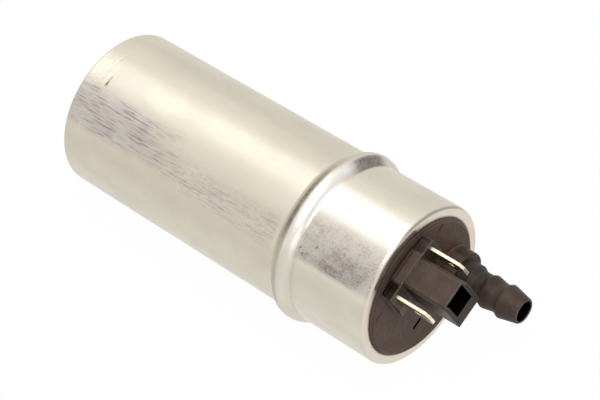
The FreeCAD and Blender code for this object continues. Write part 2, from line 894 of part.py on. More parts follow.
def terminal(label, side):
    body = new_body(label, cover_inside, side * d.blade_offset)
    sketch = new_sketch(body, "XZ_Plane", -d.blade_thickness / 2)
    top = cap_face + d.blade_height - cover_inside
    low = d.blade_near - d.blade_width
    middle = d.blade_near - d.blade_width / 2
    outline = Outline(sketch, -d.tail_strip_length, d.tail_strip_far)
    outline.line(0, d.tail_strip_far)
    outline.line(0, low)
    outline.line(top - d.blade_tip_length, low)
    outline.line(top, middle - d.blade_tip_width / 2)
    outline.line(top, middle + d.blade_tip_width / 2)
    outline.line(top - d.blade_tip_length, d.blade_near)
    outline.line(0, d.blade_near)
    outline.line(0, middle + d.shoulder_width / 2)
    outline.line(-d.shoulder_length, middle + d.shoulder_width / 2)
    outline.line(-d.shoulder_length, d.tail_strip_near)
    outline.line(-d.tail_strip_length, d.tail_strip_near)
    outline.close()
    circle(sketch, d.blade_hole_radius, top - d.blade_hole_place, middle)
    pad(body, sketch, d.blade_thickness)
    return body


def terminals():
    return [terminal("terminal_left", -1), terminal("terminal_right", 1)]


# A plain tube along the pump.
def sleeve(label, x, outer, inner, length, y=0, z=0):
    body = new_body(label, x, y, z)
    sketch = new_sketch(body, "YZ_Plane")
    circle(sketch, outer)
    circle(sketch, inner)
    pad(body, sketch, length)
    return body


# A plain disc or rod along the pump.
def rod(label, x, radius, length, y=0, z=0):
    solid = doc.addObject("Part::Cylinder", label)
    solid.Label = label
    solid.Radius = value_of(radius)
    solid.Height = value_of(length)
    position = Vector(value_of(x), value_of(y), value_of(z))
    solid.Placement = Placement(position, Rotation(Vector(0, 1, 0), 90))
    tie(solid, "Radius", radius)
    tie(solid, "Height", length)
    tie(solid, "Placement.Base.x", x)
    tie(solid, "Placement.Base.y", y)
    tie(solid, "Placement.Base.z", z)
    return solid


def cover_seal():
    ring = doc.addObject("Part::Torus", "cover_seal")
    ring.Label = "cover_seal"
    middle = casing_bore - d.fit_gap - d.seal_thickness / 2
    x = cover_start + d.seal_place
    ring.Radius1 = middle.value
    ring.Radius2 = d.seal_thickness.value / 2
    ring.Placement = Placement(Vector(x.value, 0, 0), Rotation(Vector(0, 1, 0), 90))
    tie(ring, "Radius1", middle)
    tie(ring, "Radius2", d.seal_thickness / 2)
    tie(ring, "Placement.Base.x", x)
    return ring


# The non-return valve in the root of the hose tail.
def check_valve():
    start = cover_inside - d.check_boss_depth
    seal_start = start + d.check_seat_height + d.seat_gap
    head_start = seal_start + d.poppet_seal_thickness
    spring_start = head_start + d.poppet_height
    seat = sleeve("check_valve_seat", start, d.check_bore_radius - d.fit_gap,
                  d.check_seat_radius, d.check_seat_height, d.tail_y, d.tail_z)
    seal = rod("check_valve_seal", seal_start, d.poppet_seal_radius, d.poppet_seal_thickness,
               d.tail_y, d.tail_z)
    poppet = new_body("check_valve_poppet", head_start, d.tail_y, d.tail_z)
    head = new_sketch(poppet, "YZ_Plane")
    circle(head, d.poppet_radius)
    pad(poppet, head, d.poppet_height)
    lug = new_sketch(poppet, "YZ_Plane")
    rectangle(lug, d.poppet_radius / 2, -d.poppet_fin_width / 2, d.poppet_guide_radius,
              d.poppet_fin_width / 2)
    around(poppet, [pad(poppet, lug, d.poppet_height)], d.poppet_fins, True)
    stem = new_sketch(poppet, "YZ_Plane", d.poppet_height)
    circle(stem, d.poppet_stem_radius)
    pad(poppet, stem, d.poppet_stem_height)
    coil = spring("check_valve_spring", d.check_spring_radius, d.check_spring_wire,
                  d.check_spring_turns, check_chamber_end - spring_start, spring_start,
                  d.tail_y, d.tail_z)
    return [seat, seal, poppet, coil]


# The pressure relief valve under the vent slot.
def relief_valve():
    y, z = d.relief_y, d.relief_z
    radius, ring, wire = d.relief_ball_radius, d.relief_spring_radius, d.relief_spring_wire
    start = relief_chamber_end - d.relief_depth
    seat = sleeve("relief_valve_seat", start, d.relief_bore_radius - d.fit_gap,
                  d.relief_seat_radius, d.relief_seat_height, y, z)
    above_seat = square_root(radius * radius - d.relief_seat_radius * d.relief_seat_radius)
    centre = start + d.relief_seat_height + above_seat + d.seat_gap
    ball = doc.addObject("Part::Sphere", "relief_valve_ball")
    ball.Label = "relief_valve_ball"
    ball.Radius = radius.value
    ball.Placement = Placement(Vector(centre.value, y.value, z.value), Rotation())
    tie(ball, "Radius", radius)
    tie(ball, "Placement.Base.x", centre)
    tie(ball, "Placement.Base.y", y)
    tie(ball, "Placement.Base.z", z)
    reach = radius + wire / 2
    rest = centre + square_root(reach * reach - ring * ring) - wire / 2
    coil = spring("relief_valve_spring", ring, wire, d.relief_spring_turns,
                  relief_chamber_end - rest, rest, y, z)
    return [seat, ball, coil]


# The moulded holder of the two brushes, with the boss of the front bush.
def brush_holder():
    body = new_body("brush_holder", holder_start)
    plate = new_sketch(body, "YZ_Plane")
    circle(plate, fit_radius - d.skirt_wall - d.fit_gap)
    pad(body, plate, d.holder_plate)
    boss = new_sketch(body, "YZ_Plane")
    circle(boss, d.holder_boss_radius)
    pad(body, boss, d.holder_boss_length)

    half_radial = d.brush_radial / 2 + d.brush_gap
    half_across = d.brush_across / 2 + d.brush_gap
    tube = new_sketch(body, "YZ_Plane", 0, 0, 0, d.brush_angle)
    rectangle(tube, d.brush_place - half_radial - d.holder_wall, -(half_across + d.holder_wall),
              d.brush_place + half_radial + d.holder_wall, half_across + d.holder_wall)
    around(body, [pad(body, tube, d.holder_tube_length)], 2, True)
    bore = new_sketch(body, "YZ_Plane", 0, 0, 0, d.brush_angle)
    rectangle(bore, d.brush_place - half_radial, -half_across, d.brush_place + half_radial,
              half_across)
    around(body, [pocket(body, bore, d.holder_tube_length - d.holder_end_wall, True)], 2, False)
    lead = new_sketch(body, "YZ_Plane", d.holder_tube_length - d.holder_end_wall, 0, 0,
                      d.brush_angle)
    circle(lead, d.lead_hole_radius, d.brush_place)
    around(body, [pocket(body, lead, d.holder_end_wall, True)], 2, False)

    bush = new_sketch(body, "YZ_Plane")
    circle(bush, d.bush_radius + d.fit_gap)
    pocket(body, bush, d.front_bush_length, True)
    shaft = new_sketch(body, "YZ_Plane")
    circle(shaft, d.shaft_radius + d.shaft_clearance)
    pocket(body, shaft, d.holder_boss_length, True)
    for side in (1, -1):
        window = new_sketch(body, "YZ_Plane", 0, 0, 0, d.brush_angle + side * d.window_angle)
        circle(window, d.window_radius, d.window_place)
        around(body, [pocket(body, window, d.holder_plate, True)], 2, False)
    seat = new_sketch(body, "YZ_Plane", d.holder_plate - d.choke_seat_depth)
    for side in (1, -1):
        circle(seat, d.choke_radius + d.fit_gap, side * d.choke_y, d.choke_z)
    pocket(body, seat, d.choke_seat_depth, True)
    return body


def brush_set(name, turn):
    angle = d.brush_angle + turn
    y, z = d.brush_place * cosine(angle), d.brush_place * sine(angle)
    start = commutator_face + d.seat_gap
    brush = new_body("brush_" + name, start, y, z, angle)
    block = new_sketch(brush, "YZ_Plane")
    rectangle(block, -d.brush_radial / 2, -d.brush_across / 2, d.brush_radial / 2,
              d.brush_across / 2)
    pad(brush, block, d.brush_length)
    hole = new_sketch(brush, "YZ_Plane", d.brush_length)
    circle(hole, d.lead_radius + d.brush_gap)
    pocket(brush, hole, d.lead_depth + d.brush_gap)
    front = value_of(d.brush_length)
    rim = edges_where(brush, lambda point, edge: abs(point.x - front) < 1e-6
                      and edge.Curve.TypeId == "Part::GeomLine")
    softened(brush, "Chamfer", rim, d.brush_chamfer)

    room = holder_start + d.holder_tube_length - d.holder_end_wall - start - d.brush_length
    coil = spring("brush_spring_" + name, d.brush_spring_radius, d.brush_spring_wire,
                  d.brush_spring_turns, room, start + d.brush_length, y, z)

    side = -1 if name == "upper" else 1
    across = side * (d.choke_y - choke_coil_radius)
    layer = lead_layer.value
    points = [Vector((start + d.brush_length - d.lead_depth).value, y.value, z.value),
              Vector(layer, y.value, z.value),
              Vector(layer, y.value, choke_return_z.value),
              Vector(layer, across.value, choke_return_z.value),
              Vector(lead_joint.value, across.value, choke_return_z.value)]
    lead = swept(rounded_route(points, d.lead_bend.value), d.lead_radius.value)
    return [brush, coil, new_feature("brush_lead_" + name, lead)]


def brushes():
    return brush_set("upper", 0) + brush_set("lower", 180)


# A suppression choke: a wound ferrite rod. One end of the wire turns to the terminal, the other
# comes back beside the coil to the brush lead.
def choke(name, side):
    core = rod("choke_core_" + name, choke_start, d.choke_radius, d.choke_length,
               side * d.choke_y, d.choke_z)
    ring, pitch, turns = choke_coil_radius.value, d.choke_pitch.value, d.choke_turns.value
    reach = d.choke_lead_place.value
    begin, begin_way = coil_point(ring, pitch, 0), coil_way(ring, pitch, 0)
    finish, finish_way = coil_point(ring, pitch, turns), coil_way(ring, pitch, turns)
    low = begin - begin_way * (reach / begin_way.z)
    high = finish + finish_way * (reach / finish_way.z)
    origin = choke_coil_start.value
    tab = (d.choke_y - d.blade_offset - d.blade_thickness / 2 - d.seat_gap).value
    inward = [Vector(lead_joint.value - origin, low.y, low.z), low, begin]
    outward = [finish, high, Vector(terminal_joint.value - origin, high.y, high.z),
               Vector(terminal_joint.value - origin, tab, high.z)]
    bend = d.lead_bend.value
    edges = rounded_route(inward, bend) + coil_route(ring, pitch, turns)
    edges += rounded_route(outward, bend)
    wire = swept(edges, d.choke_wire.value / 2)
    print("choke_coil_" + name, "least gap between turns",
          round(coil_gap(ring, pitch, turns, d.choke_wire.value), 2), "mm")
    if side > 0:
        wire = wire.mirror(Vector(0, 0, 0), Vector(0, 1, 0))
    coil = new_feature("choke_coil_" + name, wire, choke_coil_start, side * d.choke_y, d.choke_z)
    return [core, coil]


def chokes():
    return choke("left", -1) + choke("right", 1)


def bearings():
    bore = d.shaft_radius + d.shaft_gap
    front = sleeve("front_bush", holder_start, d.bush_radius, bore, d.front_bush_length)
    rear = sleeve("rear_bush", rear_bush_start, d.bush_radius, bore, d.rear_bush_length)
    thrust = rod("thrust_button", shaft_start - d.end_float - d.thrust_height, d.thrust_radius,
                 d.thrust_height)
    return [front, rear, thrust]


def flux_ring():
    body = sleeve("flux_ring", motor_start, fit_radius, fit_radius - d.ring_wall, ring_length)
    ends = edges_where(body, lambda point, edge: edge.Curve.Radius > casing_bore.value - 1
                       if edge.Curve.TypeId == "Part::GeomCircle" else False)
    softened(body, "Chamfer", ends, d.ring_chamfer)
    return body


def polar(radius, angle):
    return radius * cosine(angle), radius * sine(angle)


def magnet(label, turn):
    body = new_body(label, core_middle - d.magnet_length / 2, 0, 0, turn)
    sketch = new_sketch(body, "YZ_Plane")
    outer = fit_radius - d.ring_wall - d.fit_gap
    inner, half = d.magnet_inner_radius, d.magnet_angle
    outline = Outline(sketch, *polar(inner, -half))
    outline.line(*polar(outer, -half))
    outline.arc(*polar(outer, half), outer, 1)
    outline.line(*polar(inner, half))
    outline.close(inner, -1)
    pad(body, sketch, d.magnet_length)
    return body


# The spring clip that spreads the two magnets against the flux ring.
def magnet_clip(label, turn):
    body = new_body(label, core_middle - d.clip_length / 2, 0, 0, turn)
    sketch = new_sketch(body, "YZ_Plane")
    outer = fit_radius - d.ring_wall - d.fit_gap
    back = outer - d.clip_thickness
    half = 90 - d.magnet_angle - d.clip_side_gap
    leg = half - d.clip_leg_angle
    outline = Outline(sketch, *polar(outer, -half))
    outline.arc(*polar(outer, half), outer, 1)
    outline.line(*polar(d.clip_inner_radius, half))
    outline.line(*polar(d.clip_inner_radius, leg))
    outline.line(*polar(back, leg))
    outline.arc(*polar(back, -leg), back, -1)
    outline.line(*polar(d.clip_inner_radius, -leg))
    outline.line(*polar(d.clip_inner_radius, -half))
    outline.close()
    pad(body, sketch, d.clip_length)
    return body


def field():
    return [flux_ring(), magnet("magnet_upper", 90), magnet("magnet_lower", 270),
            magnet_clip("magnet_clip_left", 180), magnet_clip("magnet_clip_right", 0)]


def armature_shaft():
    body = new_body("armature_shaft", shaft_start, 0, 0, d.stage_turn)
    sketch = new_sketch(body, "XY_Plane")
    radius, end = d.shaft_radius, shaft_end - shaft_start
    shoulder = rear_washer_start + d.washer_thickness - shaft_start
    outline = Outline(sketch, 0, 0)
    outline.line(0, radius - d.shaft_chamfer)
    outline.line(d.shaft_chamfer, radius)
    outline.line(shoulder, radius)
    outline.line(shoulder, d.shoulder_radius)
    outline.line(core_start - shaft_start, d.shoulder_radius)
    outline.line(core_start - shaft_start, radius)
    outline.line(end - d.shaft_chamfer, radius)
    outline.line(end, radius - d.shaft_chamfer)
    outline.line(end, 0)
    outline.close()
    turned(body, sketch)
    flats = new_sketch(body, "YZ_Plane")
    for low, high in ((d.shaft_flat, 2 * radius), (-2 * radius, -d.shaft_flat)):
        rectangle(flats, -2 * radius, low, 2 * radius, high)
    pocket(body, flats, port_plate_start - d.rotor_side_gap - shaft_start, True)
    return body


# The outline of one winding slot, drawn inwards by a margin.
def slot_outline(sketch, margin, open_to):
    outline = Outline(sketch, d.slot_bottom + margin, -(d.slot_bottom_half - margin))
    top, top_half = d.slot_top - margin, d.slot_top_half - margin
    neck, mouth = d.slot_top + d.slot_lip, d.slot_mouth / 2
    if open_to is None:
        outline.line(top, -top_half).line(top, top_half)
    else:
        outline.line(top, -top_half).line(neck, -mouth).line(open_to, -mouth)
        outline.line(open_to, mouth).line(neck, mouth).line(top, top_half)
    outline.line(d.slot_bottom + margin, d.slot_bottom_half - margin)
    outline.close()


def slotted_disc(label, x, radius, bore, length):
    body = new_body(label, x)
    disc = new_sketch(body, "YZ_Plane")
    circle(disc, radius)
    circle(disc, bore)
    pad(body, disc, length)
    slot = new_sketch(body, "YZ_Plane")
    slot_outline(slot, plain(0), radius + d.slot_lip)
    around(body, [pocket(body, slot, length, True)], d.slot_count, False)
    return body


def armature_winding():
    start = core_start - d.insulator_thickness - d.head_length
    body = new_body("armature_winding", start)
    through = d.core_length + 2 * d.insulator_thickness
    soft = d.head_round
    for base, way in ((d.head_length, -1), (d.head_length + through, 1)):
        tip = base + way * d.head_length
        bend = tip - way * soft
        head = new_sketch(body, "XY_Plane")
        outline = Outline(head, base, d.head_inner_radius)
        outline.line(bend, d.head_inner_radius)
        outline.arc(tip, d.head_inner_radius + soft, soft, way)
        outline.line(tip, d.head_outer_radius - soft)
        outline.arc(bend, d.head_outer_radius, soft, way)
        outline.line(base, d.head_outer_radius)
        outline.close()
        if way < 0:
            turned(body, head)
            bar = new_sketch(body, "YZ_Plane", d.head_length - soft)
            slot_outline(bar, d.winding_gap, None)
            around(body, [pad(body, bar, through + 2 * soft)], d.slot_count, True)
        else:
            turned(body, head)
    return body


def commutator():
    hub = new_body("commutator_hub", commutator_start - d.commutator_hub_length)
    sketch = new_sketch(hub, "XY_Plane")
    bore = d.shaft_radius + d.rotor_bore_gap
    sleeve_end = front_washer_start - commutator_start + d.commutator_hub_length
    outline = Outline(sketch, 0, bore)
    outline.line(0, d.commutator_radius - d.commutator_hub_step)
    outline.line(d.commutator_hub_length, d.commutator_radius - d.commutator_hub_step)
    outline.line(d.commutator_hub_length, d.commutator_hub_radius)
    outline.line(sleeve_end, d.commutator_hub_radius)
    outline.line(sleeve_end, bore)
    outline.close()
    turned(hub, sketch)

    face = sleeve("commutator", commutator_start, d.commutator_radius,
                  d.commutator_hub_radius + d.rotor_bore_gap, d.commutator_length)
    slot = new_sketch(face, "YZ_Plane", d.commutator_length)
    rectangle(slot, d.commutator_hub_radius / 2, -d.commutator_slot / 2,
              d.commutator_radius + d.commutator_slot, d.commutator_slot / 2)
    around(face, [pocket(face, slot, d.commutator_slot_depth)], d.slot_count, False)
    return [hub, face]


def armature():
    bore = d.shaft_radius + d.rotor_bore_gap
    core = slotted_disc("armature_core", core_start, core_radius, bore, d.core_length)
    over = d.shoulder_radius + d.rotor_bore_gap
    rear = slotted_disc("core_insulator_rear", core_start - d.insulator_thickness,
                        core_radius - d.winding_gap, over, d.insulator_thickness)
    front = slotted_disc("core_insulator_front", core_start + d.core_length,
                         core_radius - d.winding_gap, over, d.insulator_thickness)
    washers = [sleeve("rear_washer", rear_washer_start, d.washer_radius, bore,
                      d.washer_thickness),
               sleeve("front_washer", front_washer_start, d.washer_radius, bore,
                      d.washer_thickness)]
    return [armature_shaft(), core, rear, front, armature_winding()] + commutator() + washers


# The curved port between the rotors, a ring sector with round ends.
def port(body, height, turn, depth, forwards):
    sketch = new_sketch(body, "YZ_Plane", height, 0, d.rotor_offset, turn)
    inner, outer, half = d.port_inner_radius, d.port_outer_radius, d.port_half_angle
    end = (outer - inner) / 2
    tip = (outer + inner) / 2 * cosine(half) - end * sine(half)
    reach = (outer + inner) / 2 * sine(half) + end * cosine(half)
    outline = Outline(sketch, *polar(inner, -half))
    outline.arc(tip, -reach, end, 1)
    outline.arc(*polar(outer, -half), end, 1)
    outline.arc(*polar(outer, half), outer, 1)
    outline.arc(tip, reach, end, 1)
    outline.arc(*polar(inner, half), end, 1)
    outline.close(inner, -1)
    pocket(body, sketch, depth, forwards)


def dowel_holes(body, height, depth, forwards):
    sketch = new_sketch(body, "YZ_Plane", height, 0, 0, d.dowel_angle)
    circle(sketch, d.dowel_radius + d.rotor_bore_gap, d.dowel_place)
    around(body, [pocket(body, sketch, depth, forwards)], 2, False)


def port_plate():
    body = new_body("port_plate", port_plate_start, 0, 0, d.stage_turn)
    disc = new_sketch(body, "YZ_Plane")
    circle(disc, fit_radius)
    pad(body, disc, d.port_plate_thickness)
    boss = new_sketch(body, "YZ_Plane")
    circle(boss, d.bush_radius + d.port_boss_wall)
    pad(body, boss, d.port_plate_thickness + d.port_boss_height)
    bush = new_sketch(body, "YZ_Plane", d.port_plate_thickness + d.port_boss_height)
    circle(bush, d.bush_radius + d.rotor_bore_gap)
    pocket(body, bush, d.rear_bush_length)
    shaft = new_sketch(body, "YZ_Plane")
    circle(shaft, d.shaft_radius + d.shaft_clearance)
    pocket(body, shaft, d.port_plate_thickness, True)
    port(body, 0, 0, d.port_plate_thickness, True)
    dowel_holes(body, 0, dowel_reach + d.seat_gap, True)
    return body


def pump_ring():
    body = new_body("pump_ring", pump_ring_start, 0, 0, d.stage_turn)
    sketch = new_sketch(body, "YZ_Plane")
    circle(sketch, fit_radius)
    circle(sketch, outer_rotor_radius + d.rotor_running_gap, 0, d.rotor_offset)
    pad(body, sketch, d.pump_ring_thickness)
    dowel_holes(body, 0, d.pump_ring_thickness, True)
    return body


def pump_dowels():
    pins = []
    for number, turn in enumerate((0, 180), start=1):
        y, z = polar(d.dowel_place, d.dowel_angle + d.stage_turn + turn)
        pins.append(rod("dowel_%d" % number, pump_ring_start - dowel_reach, d.dowel_radius,
                        d.dowel_length, y, z))
    group = doc.addObject("Part::Compound", "pump_dowels")
    group.Label = "pump_dowels"
    group.Links = pins
    return group


# The outline of the inner rotor: what a round tooth of the outer rotor leaves on a disc that turns
# lobe by tooth against it.
def lobe_curve():
    lobes, circle_radius = d.lobe_count.value, d.lobe_circle.value
    tooth, offset = d.lobe_radius.value + d.rotor_gap.value, d.rotor_offset.value
    teeth = lobes + 1

    def point(angle):
        lean = math.atan(math.sin(lobes * angle)
                         / (math.cos(lobes * angle) - circle_radius / (offset * teeth)))
        right = (circle_radius * math.cos(angle) - tooth * math.cos(angle + lean)
                 - offset * math.cos(teeth * angle))
        up = (circle_radius * math.sin(angle) - tooth * math.sin(angle + lean)
              - offset * math.sin(teeth * angle))
        return Vector(right, up, 0)

    steps = int(round(16 * lobes))
    curve = Part.BSplineCurve()
    curve.interpolate(Points=[point(2 * math.pi * step / steps) for step in range(steps)],
                      PeriodicFlag=True)
    return curve


def inner_rotor():
    body = new_body("inner_rotor", pump_ring_start + d.rotor_side_gap, 0, 0, d.stage_turn)
    lobes = new_sketch(body, "YZ_Plane", 0, 0, 0, -90)
    lobes.addGeometry(lobe_curve(), False)
    pad(body, lobes, rotor_thickness)
    bore = new_sketch(body, "YZ_Plane")
    radius, flat = d.shaft_radius + d.rotor_bore_gap, d.shaft_flat + d.rotor_bore_gap
    half = square_root(radius * radius - flat * flat)
    outline = Outline(bore, half, -flat)
    outline.arc(half, flat, radius, 1)
    outline.line(-half, flat)
    outline.arc(-half, -flat, radius, 1)
    outline.close()
    pocket(body, bore, rotor_thickness, True)
    return body


def outer_rotor():
    across, up = polar(d.rotor_offset, d.stage_turn)
    body = new_body("outer_rotor", pump_ring_start + d.rotor_side_gap, -up, across, d.stage_turn)
    ring = new_sketch(body, "YZ_Plane")
    circle(ring, outer_rotor_radius)
    circle(ring, outer_root_radius + d.rotor_gap)
    pad(body, ring, rotor_thickness)
    tooth = new_sketch(body, "YZ_Plane", 0, 0, 0, -90)
    sunk = d.lobe_radius / 4
    chord = d.lobe_circle + sunk
    half = square_root(d.lobe_radius * d.lobe_radius - sunk * sunk)
    outline = Outline(tooth, chord, half)
    outline.arc(d.lobe_circle - d.lobe_radius, 0, d.lobe_radius, 1)
    outline.arc(chord, -half, d.lobe_radius, 1)
    outline.close()
    around(body, [pad(body, tooth, rotor_thickness)], d.lobe_count + 1, True)
    return body


# The inlet cover: moulded disc with a dished back, six ribs and the suction stub.
def inlet_cover():
    body = new_body("inlet_cover", rear_seat, 0, 0, d.stage_turn)
    sketch = new_sketch(body, "XY_Plane")
    lip = d.rear_lip_radius - d.lip_gap
    back = -(d.casing_wall + d.inlet_face_height)
    outline = Outline(sketch, back, 0)
    outline.line(back, d.rear_dish_inner)
    outline.line(back + d.rear_dish_depth, d.rear_dish_inner)
    outline.line(back + d.rear_dish_depth, d.rear_dish_outer)
    outline.line(back, d.rear_dish_outer)
    outline.line(back, lip - d.inlet_face_height / 2)
    outline.line(back + d.inlet_face_height / 2, lip)
    outline.line(0, lip)
    outline.line(0, fit_radius)
    outline.line(d.inlet_cover_thickness, fit_radius)
    outline.line(d.inlet_cover_thickness, 0)
    outline.close()
    turned(body, sketch)

    rib = new_sketch(body, "YZ_Plane", back + d.rear_dish_depth)
    rectangle(rib, d.rear_dish_inner - d.rear_rib_width, -d.rear_rib_width / 2,
              d.rear_dish_outer + d.rear_rib_width, d.rear_rib_width / 2)
    around(body, [pad(body, rib, d.rear_rib_height, True)], d.rear_rib_count, True)
    collar = new_sketch(body, "YZ_Plane", back + d.rear_dish_depth, -d.stub_offset)
    circle(collar, d.stub_collar_radius)
    pad(body, collar, d.rear_dish_depth + d.stub_collar_height, True)
    stub = new_sketch(body, "YZ_Plane", back + d.rear_dish_depth, -d.stub_offset)
    circle(stub, d.stub_radius)
    pad(body, stub, d.rear_dish_depth + d.stub_height, True)
    tip = value_of(back - d.stub_height)
    rim = edges_where(body, lambda point, edge: abs(point.x - tip) < 1e-6)
    softened(body, "Fillet", rim, d.stub_round)

    port(body, d.inlet_cover_thickness, 180, d.port_depth, False)
    bore = new_sketch(body, "YZ_Plane", d.inlet_cover_thickness - d.port_depth / 2,
                      -d.stub_offset)
    circle(bore, d.stub_bore_radius)
    pocket(body, bore, d.inlet_cover_thickness + d.stub_height - back)
    thrust = new_sketch(body, "YZ_Plane", d.inlet_cover_thickness)
    circle(thrust, d.shaft_radius + d.shaft_clearance)
    pocket(body, thrust, d.shaft_reach + d.end_float + d.thrust_height)
    dowel_holes(body, d.inlet_cover_thickness, dowel_reach + d.seat_gap, False)
    return body


PIECES = [casing, outlet_cover, terminals, cover_seal, check_valve, relief_valve, brush_holder,
          brushes, chokes, bearings, field, armature, port_plate, pump_ring, pump_dowels,
          inner_rotor, outer_rotor, inlet_cover]

parts = []
for piece in PIECES:
    made = piece()
    parts += made if isinstance(made, list) else [made]
doc.recompute()

for item in doc.Objects:
    if "Invalid" in item.State or "Error" in item.State:
        raise RuntimeError(item.Name + " failed: " + str(item.State))
for part in parts:
    if part.Shape.isNull() or not part.Shape.isValid():
        raise RuntimeError(part.Label + " has no valid shape")

os.makedirs("parts", exist_ok=True)
for part in parts:
    part.Shape.exportStep(os.path.join("parts", part.Label + ".step"))
    print(part.Label, "solids", len(part.Shape.Solids), "volume", round(part.Shape.Volume, 1))
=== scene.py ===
import json
import math

import bpy
from mathutils import Matrix, Vector


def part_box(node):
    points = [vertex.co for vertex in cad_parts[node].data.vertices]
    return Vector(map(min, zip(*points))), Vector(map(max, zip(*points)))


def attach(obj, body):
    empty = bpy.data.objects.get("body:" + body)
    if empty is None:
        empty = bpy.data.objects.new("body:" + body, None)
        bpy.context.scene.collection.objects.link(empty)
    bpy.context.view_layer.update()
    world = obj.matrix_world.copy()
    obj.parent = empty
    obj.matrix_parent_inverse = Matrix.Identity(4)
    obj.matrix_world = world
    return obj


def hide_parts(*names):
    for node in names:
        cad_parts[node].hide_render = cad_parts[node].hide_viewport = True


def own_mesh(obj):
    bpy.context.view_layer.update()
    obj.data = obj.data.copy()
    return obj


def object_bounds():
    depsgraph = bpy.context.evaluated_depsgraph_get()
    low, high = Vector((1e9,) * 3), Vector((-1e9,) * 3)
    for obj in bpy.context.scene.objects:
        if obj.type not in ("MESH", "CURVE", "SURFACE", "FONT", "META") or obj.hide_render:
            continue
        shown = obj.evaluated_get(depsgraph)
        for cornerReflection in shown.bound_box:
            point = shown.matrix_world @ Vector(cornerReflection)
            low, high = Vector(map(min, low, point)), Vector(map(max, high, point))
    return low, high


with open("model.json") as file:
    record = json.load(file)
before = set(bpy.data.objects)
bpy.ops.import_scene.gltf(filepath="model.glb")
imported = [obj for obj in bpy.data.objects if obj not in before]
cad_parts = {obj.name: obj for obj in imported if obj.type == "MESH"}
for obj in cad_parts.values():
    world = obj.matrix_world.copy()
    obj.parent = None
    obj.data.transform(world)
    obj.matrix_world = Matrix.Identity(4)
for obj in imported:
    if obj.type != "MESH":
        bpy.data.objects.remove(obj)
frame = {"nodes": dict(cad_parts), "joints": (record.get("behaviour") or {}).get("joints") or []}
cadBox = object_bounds()
nodes = frame["nodes"]
mmPerMetre = 1000
print("frame loaded,", len(nodes), "pieces")


# One output of a node, so that shader maths reads as plain sums.
class Wire:
    def __init__(self, shading, socket):
        self.shading = shading
        self.socket = socket

    def maths(self, operation, *values):
        return self.shading.node("Math", {"operation": operation}, dict(enumerate(values)))

    def other(self, output):
        return Wire(self.shading, self.socket.node.outputs[output])

    def __add__(self, value):
        return self.maths("ADD", self, value)

    def __radd__(self, value):
        return self.maths("ADD", value, self)

    def __sub__(self, value):
        return self.maths("SUBTRACT", self, value)

    def __rsub__(self, value):
        return self.maths("SUBTRACT", value, self)

    def __mul__(self, value):
        return self.maths("MULTIPLY", self, value)

    def __rmul__(self, value):
        return self.maths("MULTIPLY", value, self)

    def __pow__(self, value):
        return self.maths("POWER", self, value)

    def __abs__(self):
        return self.maths("ABSOLUTE", self)


# A node tree, of a material or of the world. node() makes any node in it.
class Shading:
    def __init__(self, tree):
        self.tree = tree

    def node(self, kind, settings=None, inputs=None, output=0):
        made = self.tree.nodes.new("ShaderNode" + kind)
        for name, value in (settings or {}).items():
            setattr(made, name, value)
        for name, value in (inputs or {}).items():
            self.feed(made.inputs[name], value)
        return Wire(self, made.outputs[output])

    def feed(self, socket, value):
        if isinstance(value, Wire):
            self.tree.links.new(value.socket, socket)
        elif socket.type == "RGBA":
            socket.default_value = (*value, 1)
        else:
            socket.default_value = value

    def seen(self):                       # 1 for what is seen or mirrored, 0 for light alone
        ray = self.node("LightPath", output="Is Camera Ray")
        return ray + ray.other("Is Glossy Ray") + ray.other("Is Transmission Ray")

    def end(self, shader, place="Material Output"):
        self.tree.links.new(shader.socket, self.tree.nodes[place].inputs["Surface"])


